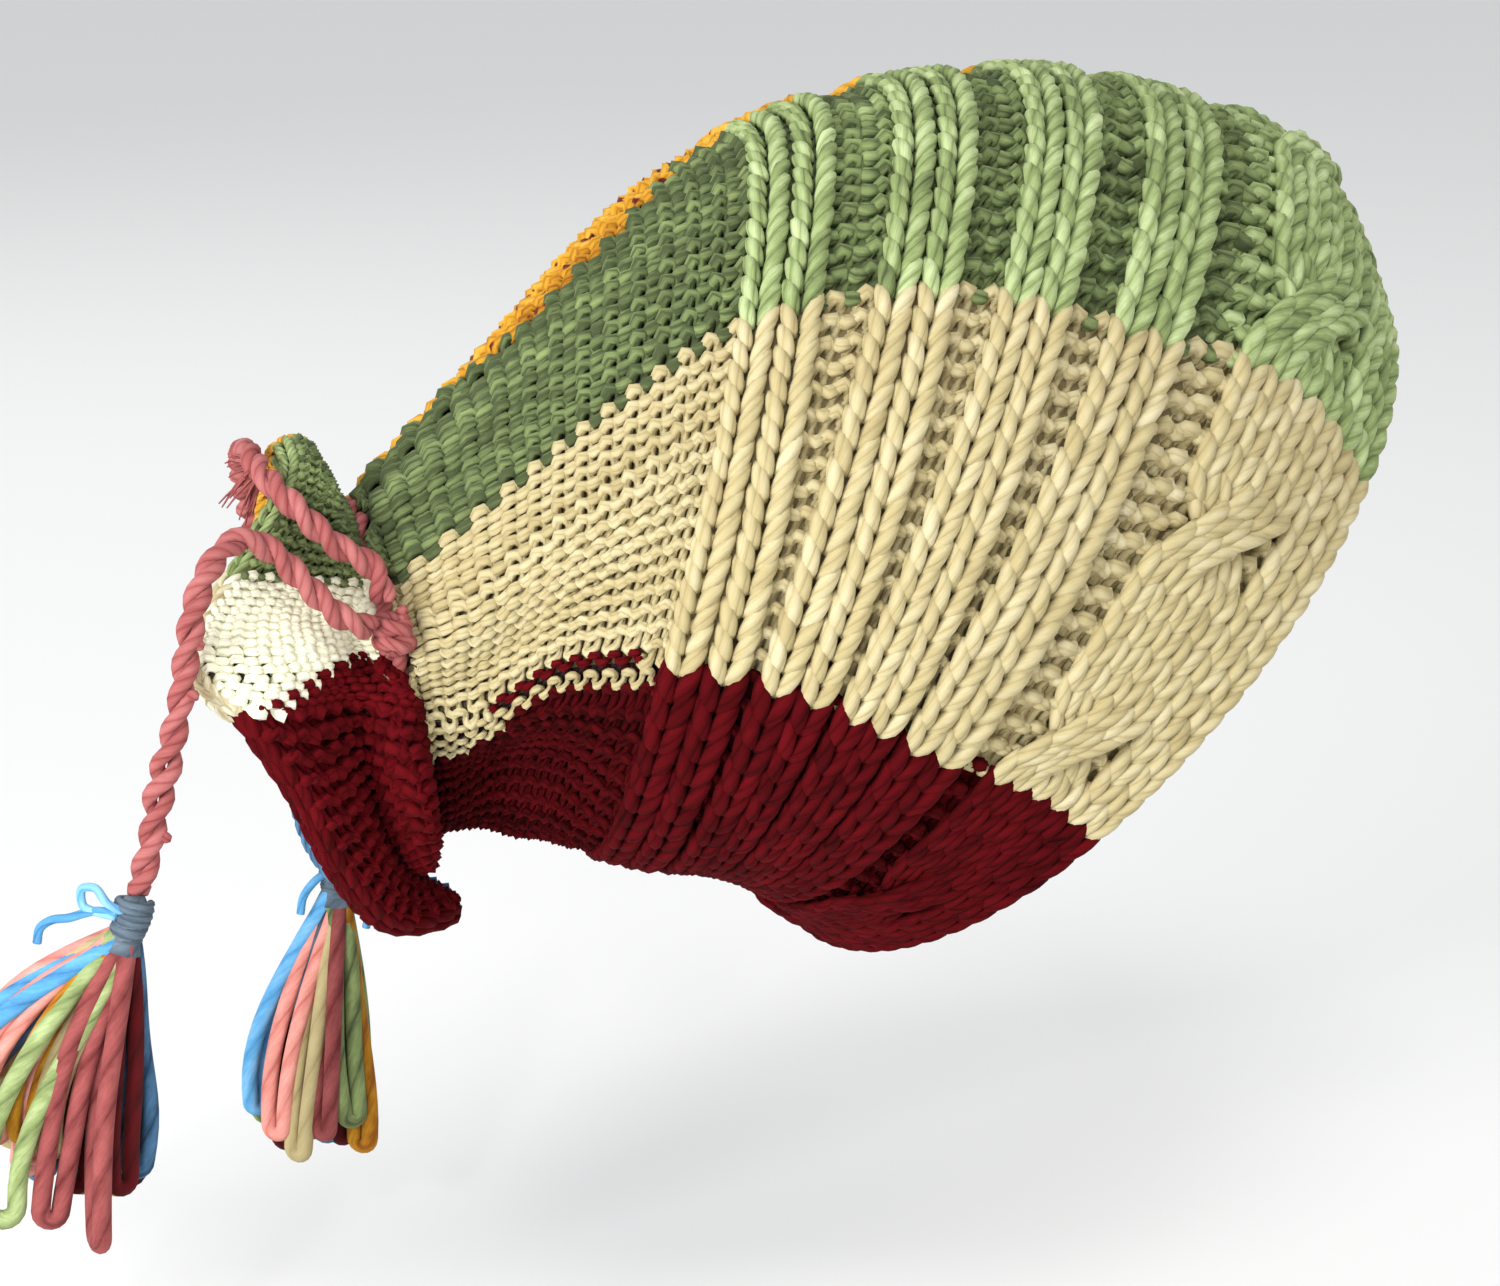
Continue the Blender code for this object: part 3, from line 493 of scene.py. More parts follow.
def mesh_object(name, parts, finishes):
    """One mesh from parts, each with the number of its finish."""
    vertices, corners, yarn, sizes, slots = [], [], [], [], []
    count = 0
    for (points, face_sets), slot in parts:
        for faces, coordinates in face_sets:
            corners.append((faces + count).ravel())
            yarn.append(coordinates.reshape(-1, 3))
            sizes.append(np.full(len(faces), faces.shape[1]))
            slots.append(np.full(len(faces), slot))
        vertices.append(points)
        count += len(points)
    sizes = np.concatenate(sizes)
    data = bpy.data.meshes.new(name)
    data.vertices.add(count)
    data.loops.add(int(sizes.sum()))
    data.polygons.add(len(sizes))
    for items, key, kind, values in (
            (data.vertices, "co", np.float32, vertices), (data.loops, "vertex_index", np.int32, corners),
            (data.polygons, "loop_start", np.int32, [np.cumsum(sizes) - sizes]),
            (data.polygons, "material_index", np.int32, slots),
            (data.polygons, "use_smooth", bool, [np.ones(len(sizes))])):
        items.foreach_set(key, np.concatenate(values).astype(kind).ravel())
    data.update(calc_edges=True)
    made = data.attributes.new("yarn", "FLOAT_VECTOR", "CORNER")
    made.data.foreach_set("vector", np.concatenate(yarn).astype(np.float32).ravel())
    for finish in finishes:
        data.materials.append(finish)
    return placed(name, data)


def tones(count):
    """How pale each of so many yarns is, from 0 to 1."""
    return np.clip(0.5 + rng.normal(0, TONE_SPREAD, count), 0, 1)


def yarn_radius(wale, row):
    return np.clip(YARN_SHARE * fabric(wale, row, 0.0)[2], YARN_LEAST, YARN_MOST)


def cable_shift(centre, rows, row):
    """How far the stitches of the cable move aside and outward where its two strands cross."""
    half = (BAND_END - RIM_WALES) / 2
    crossings = np.floor((rows + 0.5 - FIRST_CABLE_ROW) / ROWS_PER_CABLE + 0.5)
    crossing = crossings * ROWS_PER_CABLE + FIRST_CABLE_ROW
    below = (rows + 0.5 > crossing)[:, None]
    apart = row - crossing[:, None]
    behind = centre > RIM_WALES + half
    share = 1 - smooth_step(apart, -CABLE_REACH, CABLE_REACH)
    moved = np.where(below, share, 1 - share) * half
    height = np.cos(np.clip(apart / CABLE_REACH, -1, 1) * math.pi / 2)
    return (-moved if behind else moved), np.where(below == behind, CABLE_OVER, -CABLE_UNDER) * height


def rib_spread(row):
    """The ribs stand apart over the top of the head and close up below it."""
    turned = np.mod(row, ROWS)
    closed = smooth_step(turned, *RIBS_CLOSE) - smooth_step(turned, *RIBS_OPEN)
    return RIB_SPREAD + (RIB_CLOSED - RIB_SPREAD) * closed


def knit_column(centre, rows, lift, cable=False, sides=LEG_SIDES, rings=LEG_RINGS, rib=None, shade=0.0):
    """The two legs of each knit stitch of one wale. The wales of a rib spread from its middle."""
    step = np.linspace(0, 1, rings)
    arch = np.sin(np.pi * step) ** LEG_ARCH
    parts = []
    for side in (-1, 1):
        across = side * (LEG_FOOT + (LEG_HEAD - LEG_FOOT) * step**LEG_BEND)
        row = rows[:, None] + 1 + LEG_BELOW - (1 + LEG_BELOW + LEG_ABOVE) * step
        row = row + rng.normal(0, ROW_JITTER, (len(rows), 1))
        wale = centre + across + rng.normal(0, WALE_JITTER, (len(rows), 1)) + 0 * row
        if rib is not None:
            wale = rib + (wale - rib) * rib_spread(row)
        aside, outward = cable_shift(centre, rows, row) if cable else (0.0, 0.0)
        wale = wale + aside
        radius = yarn_radius(wale, row)
        if rib is not None:
            radius = radius * (1 + RIB_SWELL * (rib_spread(row) - RIB_SPREAD))
        raised = lift + outward - radius + radius * LEG_SINK * (arch - 1)
        points, normals, _ = fabric(wale, row, raised)
        radius = radius * (LEG_TIP + (1 - LEG_TIP) * arch)
        # Each leg's tone, less its painted shade (painted light where the shade is below nought)
        parts.append(tube_part(points, normals, radius, sides, tones(len(rows)) - shade))
    return parts


def purl_courses(first_wale, last_wale, rows, lift=PURL_LIFT, count=None, even=False, shade=0.0,
                 swing=PURL_SWING, thickness=PURL_SHARE):
    """The purl side of the fabric: in each row one yarn that loops up and down, count times or once in each
    wale. Even courses count their wales from the crease and share the ruffle's width between them."""
    rows = np.atleast_1d(rows)
    wales = last_wale - first_wale
    count = count or wales
    turn = math.tau * np.linspace(0, count, int(count * PURL_STEPS) + 1)
    wale = first_wale + (turn / math.tau + PURL_LEAN * np.sin(2 * turn)) * wales / count
    row = rows[:, None] + 0.5 + swing * np.cos(turn)
    row = row + rng.normal(0, ROW_JITTER, (len(rows), 1))
    wale = wale + 0 * row
    if even:
        wale = even_wale(wale / RUFFLE_STITCHES, row)
    radius = yarn_radius(wale, row) * thickness * (1 - PURL_WAIST * np.sin(turn) ** 2)
    rise = radius * (PURL_RISE * np.cos(2 * turn) + PURL_HEADS * np.cos(turn))
    points, normals, _ = fabric(wale, row, lift - radius + rise)
    # Each course's tone, less its painted shade (painted light where the shade is below nought)
    tone = np.clip(tones(len(rows)) - shade, DEEPEST, PALEST)
    return [tube_part(points, normals, radius, PURL_SIDES, tone)]


def even_table():
    """Wales between the crease and the ruffle's edge that share its width evenly, for each row."""
    rows = np.linspace(0, ROWS, 2 * ROWS + 1)
    wales = np.linspace(RUFFLE_START, EDGE_WALE, 160)
    wale, row = np.meshgrid(wales, rows, indexing="ij")
    along = distance_along(face(wale.ravel(), row.ravel()).reshape(*wale.shape, 3))
    shares = np.linspace(0, 1, 97)
    return np.stack([np.interp(shares, line / line[-1], wales) for line in along.T])


def even_wale(share, row):
    """The wale at a share of the ruffle's width."""
    at_row, at_share = np.mod(row, ROWS) * 2, np.clip(share, 0, 1) * (EVEN.shape[1] - 1)
    low_row = np.minimum(np.floor(at_row).astype(int), EVEN.shape[0] - 2)
    low_share = np.minimum(np.floor(at_share).astype(int), EVEN.shape[1] - 2)
    up, right = at_row - low_row, at_share - low_share
    lower, upper = (EVEN[line, low_share] * (1 - right) + EVEN[line, low_share + 1] * right
                    for line in (low_row, low_row + 1))
    return lower * (1 - up) + upper * up


EVEN = even_table()

# Rows of the tail that take a neighbour's colour between two wales, and rows of the ruffle's ridge that are
# burgundy as far as a stitch
TAIL_SHIFTS = {0: ("gold", 24.5, 32), 1: ("gold", 25.4, 31.2), 2: ("gold", 26.6, 30.2),
               31: ("burgundy", 24, 32), 32: ("cream", 23, 35.1), 33: ("cream", 31, 35.1),
               34: ("cream", 33, 35.1)}
RIDGE_SHIFTS = {31: 7.6, 30: 6.8, 29: 5.9, 28: 5.0, 27: 4.2, 26: 3.2, 25: 2.2}
# The shifted stitches' lift, swing, thickness and how much darker they are, in tones (paler below nought)
SHIFT_LOOKS = {"gold": (PURL_LIFT, PURL_SWING, PURL_SHARE, 0.3), "burgundy": (PURL_LIFT, 0.25, 0.8, -0.4),
               "cream": (0.4 * MM, 0.3, 0.68, 0.0)}
# Painted shade and light, in tones: how much darker the tail is painted as shade; the same of the ruffle,
# painted light where below nought; and the most painted shade that the troughs between the ribs take
TAIL_PAINTED_SHADES = {"green": 0.72, "burgundy": 0.3}
RUFFLE_PAINTED_LIGHT_AND_SHADE = {"green": 0.5, "cream": -1.25, "burgundy": -0.4}
TROUGH_PAINTED_SHADE = 0.5
EDGE_SHADE = 0.45  # the share of the ruffle's painted light or shade that its rolled edge and the lining have


def stitches(block):
    """All the stitches of one colour block."""
    colour = BLOCKS[block]
    # Painted shade for the tail, and painted light or shade for the ruffle, in tones
    shade, ruffle_light_and_shade = TAIL_PAINTED_SHADES.get(colour, 0.0), RUFFLE_PAINTED_LIGHT_AND_SHADE.get(colour, 0.0)
    rows = np.arange(block * BLOCK_ROWS, (block + 1) * BLOCK_ROWS, dtype=float)
    parts = []
    for wale in range(RIM_WALES):
        parts += knit_column(wale + 0.5, rows, RIB_LIFT)
    parts += knit_column(-0.5, rows, RIM_LIFT)
    for wale in range(RIM_WALES, BAND_END):
        parts += knit_column(wale + 0.5, rows, RIB_LIFT, cable=True)
    for start in RIB_STARTS:
        for wale in (start + 0.5, start + 1.5):
            parts += knit_column(wale, rows, RIB_LIFT, rib=start + 1)
    parts += purl_courses(RIM_WALES - 0.2, BAND_END + 0.8, rows, GROUND_LIFT, GROUND_STITCHES)
    begin, end = TAIL_START - 0.25, NECK_WALE + 0.1
    for row in rows:
        # Purl courses in the troughs between the ribs, darker by the tail's painted shade up to the troughs'
        # limit
        half = RIB_WALES - RIB_WALES * rib_spread(row + 0.5) / 2 + TROUGH_LAP
        for start in (BAND_END, *(rib + RIB_WALES for rib in RIB_STARTS[:-1])):
            middle = start + RIB_WALES / 2
            near, far = middle - half, middle + half
            if start == BAND_END:
                near = BAND_END - 0.2
            parts += purl_courses(near, far, row, TROUGH_LIFT, (far - near) / TROUGH_STITCH,
                                  shade=min(shade, TROUGH_PAINTED_SHADE))
        # The tail's courses, darker by the tail's painted shade
        _, taken_from, taken_to = TAIL_SHIFTS.get(row, ("", end, end))
        for first, last in ((begin, taken_from), (taken_to, end)):
            if last > first:
                parts += purl_courses(first, last, row, shade=shade)
        # The ruffle's courses: cream and burgundy paler as painted light, green darker as painted shade
        parts += purl_courses(RIDGE_SHIFTS.get(row, 0), RUFFLE_STITCHES, row, even=True, shade=ruffle_light_and_shade)
    for row, (taker, first, last) in TAIL_SHIFTS.items():
        if taker == colour:
            lift, swing, thickness, darker_by = SHIFT_LOOKS[colour]
            parts += purl_courses(first, last, row, lift, swing=swing, thickness=thickness, shade=darker_by)
    # The ridge's burgundy stitches take the ruffle's painted light as well
    for row, last in RIDGE_SHIFTS.items():
        if colour == "burgundy":
            parts += purl_courses(0, last, row, even=True, shade=ruffle_light_and_shade)
    # The lining's knit stitches, with a share of the ruffle's painted light or shade
    for step in range(LINING_WALES):
        past = LINING_START + step
        parts += knit_column(EDGE_WALE + past, rows, EDGE_LIFT if past < EDGE_ROLL else LINING_LIFT,
                             sides=6, rings=5, shade=EDGE_SHADE * ruffle_light_and_shade)
    return parts


def shell(block):
    """The cloth behind the stitches: an outer face under them, an inner face, and the four edges."""
    rows = block * BLOCK_ROWS + np.linspace(0, BLOCK_ROWS, BLOCK_ROWS * 3 + 1)
    wales = np.linspace(0, EDGE_WALE, EDGE_WALE * 3 + 1)
    wale, row = np.meshgrid(wales, rows, indexing="ij")
    under = CLOTH_LIFT
    for start in (0.0, *RIB_STARTS):
        end = start + RIB_WALES
        rise = smooth_step(wale, start - 0.1, start + 0.4) - smooth_step(wale, end - 0.4, end + 0.1)
        under = under + CLOTH_RISE * rise
    outer, _, _ = fabric(wale, row, under)
    inner = face(wale.ravel(), row.ravel(), inner=True).reshape(outer.shape)
    place = np.stack([wale, row, 0 * wale], -1)
    parts = [(grid_part(outer, place), 0), (grid_part(inner[::-1], place[::-1]), 1)]
    for first, second, along in (
            (inner[0], outer[0], place[0]), (outer[-1], inner[-1], place[-1]),
            (outer[:, 0], inner[:, 0], place[:, 0]), (inner[:, -1], outer[:, -1], place[:, -1])):
        parts.append((grid_part(np.stack([first, second]), np.stack([along, along])), 1))
    return parts


def new_finish(name):
    """A material, its node tree and its shader."""
    made = bpy.data.materials.new(name)
    made.use_nodes = True
    return made, made.node_tree, made.node_tree.nodes["Principled BSDF"]


def node(tree, kind, inputs, **settings):
    """A node whose inputs are set, or linked where the value is another node's output."""
    made = tree.nodes.new(kind)
    for name, value in settings.items():
        setattr(made, name, value)
    for name, value in inputs.items():
        if isinstance(value, bpy.types.NodeSocket):
            tree.links.new(value, made.inputs[name])
        else:
            made.inputs[name].default_value = value
    return made


def math_node(tree, operation, *values):
    return node(tree, "ShaderNodeMath", dict(enumerate(values)), operation=operation).outputs[0]


def noise(tree, place, scale, detail, roughness=0.5):
    return node(tree, "ShaderNodeTexNoise", {"Vector": place, "Scale": scale, "Detail": detail,
                                             "Roughness": roughness}).outputs["Fac"]


def waves(tree, turns):
    """Ridges between 0 and 1, one in each turn."""
    return math_node(tree, "ABSOLUTE", math_node(tree, "SINE", math_node(tree, "MULTIPLY", turns, math.pi)))


def ramp(tree, value, *stops):
    """A colour ramp through two or more stops, each a position and a colour."""
    made = node(tree, "ShaderNodeValToRGB", {"Fac": value})
    elements = made.color_ramp.elements
    for index in (0, -1):
        elements[index].position, elements[index].color = stops[index][0], (*stops[index][1], 1)
    for position, colour in stops[1:-1]:
        elements.new(position).color = (*colour, 1)
    return made.outputs["Color"]


def yarn_place(tree):
    """The three yarn coordinates, and the place on the piece."""
    place = node(tree, "ShaderNodeAttribute", {}, attribute_name="yarn")
    parts = node(tree, "ShaderNodeSeparateXYZ", {"Vector": place.outputs["Vector"]})
    return *parts.outputs, node(tree, "ShaderNodeTexCoord", {}).outputs["Object"]


def set_shader(tree, shader, colour, height, strength, depth, values):
    """Gives a shader its colour, its bumps and its single values."""
    tree.links.new(colour, shader.inputs["Base Color"])
    bump = node(tree, "ShaderNodeBump", {"Height": height, "Strength": strength, "Distance": depth})
    tree.links.new(bump.outputs["Normal"], shader.inputs["Normal"])
    for name, value in values.items():
        shader.inputs[name].default_value = value


def wool(name, dark, middle, light, pale=None, flecks=None, plies=3, pitch=9 * MM, relief=0.55, sheen=0.12,
         gloss=0.18):
    """Plied wool yarn: the plies twist round it, fine fibres run along them and its colour varies; the
    grooves between the plies are darker as painted shade, and a pale colour, where given, is a painted
    highlight.
    """
    made, tree, shader = new_finish(name)
    maths = partial(math_node, tree)
    turn, along, tone, where = yarn_place(tree)
    phase = maths("ADD", maths("MULTIPLY", turn, plies), maths("MULTIPLY", along, 1 / pitch))
    ply = maths("POWER", waves(tree, phase), 0.55)
    along_fibre = node(tree, "ShaderNodeCombineXYZ", {
        "X": maths("MULTIPLY", phase, 5.0), "Y": maths("MULTIPLY", along, 160.0),
        "Z": maths("MULTIPLY", tone, 40.0)}).outputs[0]
    fibre = noise(tree, along_fibre, 1.6, 4.0, 0.65)
    # Colour: the ply ridges paler and the grooves between them darker, as painted shade; fibres, patches and
    # each yarn's tone, with any painted light or shade in it, vary it too
    shade = maths("MULTIPLY_ADD", ply, 0.32, 0.04)
    for part, share in ((fibre, 0.5), (noise(tree, where, 120.0, 2.0, 0.6), 0.35), (tone, 0.5)):
        shade = maths("MULTIPLY_ADD", part, share, shade)
    # A paler colour past the light one: a painted highlight, reached through painted light
    painted_highlight_stop = [(1.0, pale)] if pale else []
    colour = ramp(tree, maths("SUBTRACT", shade, 0.42), (0.12, dark), (0.5, middle), (0.9, light), *painted_highlight_stop)
    if flecks:
        mask = ramp(tree, noise(tree, where, 260.0, 1.0), (0.64, (0, 0, 0)), (0.69, (1, 1, 1)))
        colour = node(tree, "ShaderNodeMix", {"Factor": mask, 6: colour, 7: (*flecks, 1)},
                      data_type="RGBA").outputs[2]
    set_shader(tree, shader, colour, maths("MULTIPLY_ADD", fibre, 0.45, ply), relief, 0.55 * MM, {
        "Roughness": 0.9, "Specular IOR Level": gloss, "Sheen Weight": sheen, "Sheen Roughness": 0.55,
        "Sheen Tint": (*[min(1, 0.15 + c) for c in light], 1)})
    return made


def matted_wool(name, dark, middle):
    """The wool between the stitches and on the inside: matted, in courses of low loops, its low places
    darker as painted shade.
    """
    made, tree, shader = new_finish(name)
    maths = partial(math_node, tree)
    wale, row, _, where = yarn_place(tree)
    sway = maths("COSINE", maths("MULTIPLY", wale, math.tau))
    course = waves(tree, maths("MULTIPLY_ADD", sway, 0.3, row))
    height = maths("MULTIPLY_ADD", noise(tree, where, 420.0, 4.0, 0.7), 0.5, maths("MULTIPLY", course, 0.6))
    # Its low places darker, as painted shade
    set_shader(tree, shader, ramp(tree, height, (0.3, dark), (0.8, middle)), height, 0.9, 1.6 * MM, {
        "Roughness": 0.95, "Specular IOR Level": 0.1, "Sheen Weight": 0.2})
    return made


# Yarn colours, darkest first, as linear values
YARNS = {
    "green": ((0.062, 0.082, 0.032), (0.25, 0.32, 0.12), (0.58, 0.68, 0.36)),
    "cream": ((0.36, 0.285, 0.135), (0.49, 0.41, 0.21), (0.66, 0.59, 0.38)),
    "burgundy": ((0.018, 0.0006, 0.001), (0.066, 0.0018, 0.0032), (0.125, 0.0035, 0.0065)),
    "blue": ((0.015, 0.045, 0.09), (0.07, 0.17, 0.30), (0.18, 0.35, 0.52)),
    "gold": ((0.25, 0.08, 0.005), (0.60, 0.29, 0.02), (0.85, 0.52, 0.08)),
    "rose": ((0.13, 0.021, 0.021), (0.32, 0.080, 0.077), (0.50, 0.185, 0.175)),
    "salmon": ((0.50, 0.14, 0.11), (0.78, 0.32, 0.27), (0.92, 0.52, 0.46)),
    "slate": ((0.02, 0.03, 0.04), (0.07, 0.10, 0.13), (0.17, 0.22, 0.27)),
    "sky": ((0.04, 0.16, 0.34), (0.10, 0.34, 0.62), (0.30, 0.58, 0.84)),
}
# The cream's pale colour is a painted highlight: mainly the ruffle, made paler by its painted light, reaches
# it
ODD_YARNS = {"gold": {"flecks": (0.12, 0.01, 0.015)}, "cream": {"pale": (0.93, 0.925, 0.72)},
             "burgundy": {"sheen": 0.02, "gloss": 0.05}}
woollen = {name: wool("wool_" + name, *shades, **ODD_YARNS.get(name, {})) for name, shades in YARNS.items()}
strand_wool = {name: wool("strand_" + name, *shades, plies=2, pitch=15 * MM, relief=0.5)
               for name, shades in YARNS.items()}


def aimed(thing, place, way):
    """Puts a camera or a lamp in its place, facing a way."""
    thing.location = place
    thing.rotation_mode = "QUATERNION"
    thing.rotation_quaternion = way.to_track_quat("-Z", "Y")
    return thing


def make_camera():
    data = bpy.data.cameras.new("camera")
    data.lens, data.sensor_width = CAMERA_LENS, 36
    data.clip_start, data.clip_end = 0.05, 50
    back = Vector(math.cos(CAMERA_ELEVATION) * TOWARD + math.sin(CAMERA_ELEVATION) * UP)
    bpy.context.scene.camera = aimed(placed("camera", data), CAMERA_AIM + back * CAMERA_DISTANCE, -back)


# The cord's two strands: how far each lies from the middle line, its radius and the length of one turn
STRAND_OFFSET = 1.55 * MM
STRAND_RADIUS = 2 * MM
STRAND_PITCH = 17 * MM
STRAND_END = 0.6  # how thick it is at its ends, to its middle
LOOP_PITCH = 15 * MM  # in the crease and in the knot, where the cord is pulled tighter
KNOT_TURNS, KNOT_SWING, KNOT_REACH = 2.4, 3.4 * MM, 4.5 * MM
LOOP_BACK = PIECE_GAP + (CORD_DIAMETER + 2 * PIECE_GAP) / 2


def smooth_route(points, count):
    """Evenly spaced points on a smooth curve through the route's own points."""
    along = distance_along(np.array(points, dtype=float))
    return smooth_values(np.column_stack([along, points]), np.linspace(0, along[-1], count)).T


def twisted(points, offset, radius, pitch, sides=9):
    """Two strands twisted round a middle line, thinner at their ends."""
    tangent = unit(np.gradient(points, axis=0))
    normal = np.zeros_like(points)
    guide = np.array([0.3, -0.8, 0.52])
    for index in range(len(points)):
        guide = guide - tangent[index] * guide.dot(tangent[index])
        guide = guide / np.linalg.norm(guide)
        normal[index] = guide
    binormal = np.cross(tangent, normal)
    along = distance_along(points)
    spokes = []
    for strand in (0, 0.5):
        turn = math.tau * (along / pitch + strand)
        spokes.append(np.cos(turn)[:, None] * normal + np.sin(turn)[:, None] * binormal)
    radii = np.full((2, len(points)), radius)
    radii[:, (0, -1)] *= STRAND_END
    return tube_part(points + np.stack(spokes) * offset, np.stack(spokes), radii, sides, tones(2))


def dress(thing, node_name):
    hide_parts(node_name)
    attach(thing, "root")
    return thing


def cord_piece(name, node_name, parts):
    return dress(mesh_object(name, [(part, 0) for part in parts], [woollen["rose"]]), node_name)


make_camera()

near_line = smooth_route(MM * np.array(NEAR_ROUTE), 90)
far_line = smooth_route(MM * np.array(FAR_ROUTE), 150)
# Where the near cord's strands part, as shares of its length, by how much and over what share
PARTINGS = ((0.79, 0.85, 0.06), (0.97, 0.4, 0.02), (0.5, 0.3, 0.03))
# Small nubs of wool on the near cord: the share of its length, and how far each stands out to the right
NUBS = ((0.895, 4.7), (0.635, 4.2), (0.55, 3.9))
# Where each tuft of frayed ends stands off the cord's upper turn, its direction and its reach
FRAYS = (
    ((-213.5, 37.0, -78.5), (-0.7, 0.5, 0.25), 6.0),
    ((-214.5, 31.0, -81.5), (-0.55, 0.35, -0.9), 10.0),
)
FRAYS_IN_TUFT = 9


def uneven_cord(line, partings):
    """Two strands twisted round each other by hand, a little uneven along their length."""
    share = np.linspace(0, 1, len(line))
    count = len(line) / 90
    unevenness = 0.06 * np.sin(share * 61 * count) + 0.05 * np.sin(share * 37 * count + 1)
    offset = STRAND_OFFSET * (1 + unevenness)
    for middle, amount, width in partings:
        offset = offset + amount * MM * np.exp(-((share - middle) / width) ** 2)
    return twisted(line, offset[:, None], STRAND_RADIUS * (1 - 0.9 * unevenness), STRAND_PITCH)


def nub_part(line, share, out):
    """A nub of wool that stands off the cord."""
    root = line[int(share * (len(line) - 1))]
    path = root - IMAGE_LEFT * MM * np.linspace(1.0, out, 5)[:, None] + 0.4 * MM * TOWARD
    path = path - 0.25 * MM * UP * np.arange(5)[:, None]
    return yarn_part(path, TOWARD, np.array([1.2, 1.5, 1.6, 1.4, 0.8]) * MM, 9)


def crease_point(angle, out):
    """A point in the crease at an angle round the tube, at a height over its floor."""
    wale, out = np.full_like(angle, NECK_WALE), np.full_like(angle, -NECK_GROOVE + CREASE_CLEARANCE + out)
    return ring_point(wale, angle, out, np.full_like(angle, LOOP_BACK))


def knot_part():
    """An overhand knot: one turn of the cord wrapped round the other."""
    middle = crease_point(np.array([math.radians(KNOT_ANGLE)]), CORD_DIAMETER + KNOT_HEIGHT / 2)[0]
    turn = np.linspace(0, KNOT_TURNS * math.tau, 90)
    ahead = unit(np.array([-0.05, 0.15, 1.0]))
    across = unit(np.cross(ahead, np.array([0.8, 0.4, 0.1])))
    outward = np.cross(across, ahead)
    line = (middle + np.outer(np.cos(turn) * KNOT_SWING, across)
            + np.outer(np.sin(turn) * KNOT_SWING, outward)
            + np.outer(np.linspace(-KNOT_REACH, KNOT_REACH, len(turn)), ahead))
    return twisted(line, 1.1 * MM, 1.5 * MM, LOOP_PITCH, 8)


def fray_parts():
    """A few loose fibres that stand off the cord's upper turn."""
    parts = []
    step = np.linspace(0, 1, 6)[:, None]
    for root, toward, reach in FRAYS:
        for _ in range(FRAYS_IN_TUFT):
            start = (np.array(root) + rng.normal(0, 0.9, 3)) * MM
            way = unit(np.array(toward) + rng.normal(0, 0.22, 3))
            line = start + reach * rng.uniform(0.55, 1.0) * MM * (way * step - 0.3 * UP * step**2)
            line = line + rng.normal(0, 0.1, line.shape) * MM
            radii = 0.6 * MM * (1 - 0.7 * step[:, 0])
            parts.append(yarn_part(line, np.array([0.2, -0.9, 0.3]), radii, 6))
    return parts


for name, line, partings, nubs in (("near", near_line, PARTINGS, NUBS), ("far", far_line, (), ())):
    cord_piece(f"cord_{name}_end", f"drawstring_{name}_end",
                             [uneven_cord(line, partings)] + [nub_part(line, *nub) for nub in nubs])
loop_line = crease_point(np.linspace(0, math.tau, 241), CORD_DIAMETER / 2)
cord_piece("cord_in_crease", "drawstring_loop", [twisted(loop_line, STRAND_OFFSET, 1.9 * MM, LOOP_PITCH)])
cord_piece("cord_knot", "drawstring_knot", [knot_part()])
frays = cord_piece("cord_frays", "drawstring_far_end", fray_parts())

# The tassels: how far below its top the yarns leave a head, between where and how often yarn is wrapped
# round the head, its least distance from the middle and how far it swells, and the head's core
HEAD_DROP = 10 * MM
WRAP_START, WRAP_END, WRAP_TURNS = 1.5 * MM, 13 * MM, 7
WRAP_RADIUS, WRAP_SWELL = 3.1 * MM, 1.1 * MM
CORE_LENGTH = 15 * MM
CORE_RADII = np.array([2.0, 3.4, 4.4, 4.6, 4.4, 3.8, 4.2, 4.8]) * MM
STRAND_SHADE = 0.3  # how much darker the tassels' strands are, in tones: partly painted shade, partly their duller colour


def hung(top, left, drop, toward):
    """A point beside and below the top of a tassel."""
    return top + left * MM * IMAGE_LEFT - drop * MM * UP + toward * MM * TOWARD


def strand_loop(top, down, left, drop, toward, gap):
    """A doubled yarn that leaves the tassel's head, falls and turns back at its end."""
    start, end = top + down * HEAD_DROP, hung(top, left, drop, toward)
    reach = np.linalg.norm(end - start)
    out = unit(end - start + 0.25 * reach * UP)
    facing = rng.uniform(0.2, 1.0) * IMAGE_LEFT + rng.uniform(-0.6, 0.6) * TOWARD
    step = np.linspace(0, 1, 15)[:, None]
    middle = ((1 - step) ** 3 * start + 3 * (1 - step) ** 2 * step * (start + out * reach * 0.35)
              + 3 * (1 - step) * step**2 * (end + 0.33 * reach * UP) + step**3 * end)
    beside = unit(np.cross(unit(np.gradient(middle, axis=0)), np.cross(facing, unit(end - start))))
    wave = rng.uniform(0.4, 1.5) * MM * np.sin(step * rng.uniform(4, 8) + rng.uniform(0, 6)) * step
    apart = gap * MM * (0.25 + 0.75 * np.sin(np.pi * np.clip(step * 0.72 + 0.02, 0, 1)) ** 0.7)
    legs = [middle + beside * (side * apart + wave) + side * 0.4 * wave * TOWARD for side in (-1, 1)]
    turn = np.linspace(0, math.pi, 9)[1:-1, None]
    centre, half = (legs[0][-1] + legs[1][-1]) / 2, (legs[0][-1] - legs[1][-1]) / 2
    bottom = centre + np.cos(turn) * half - np.sin(turn) * np.linalg.norm(half) * UP
    return np.concatenate([legs[0], bottom, legs[1][::-1]])


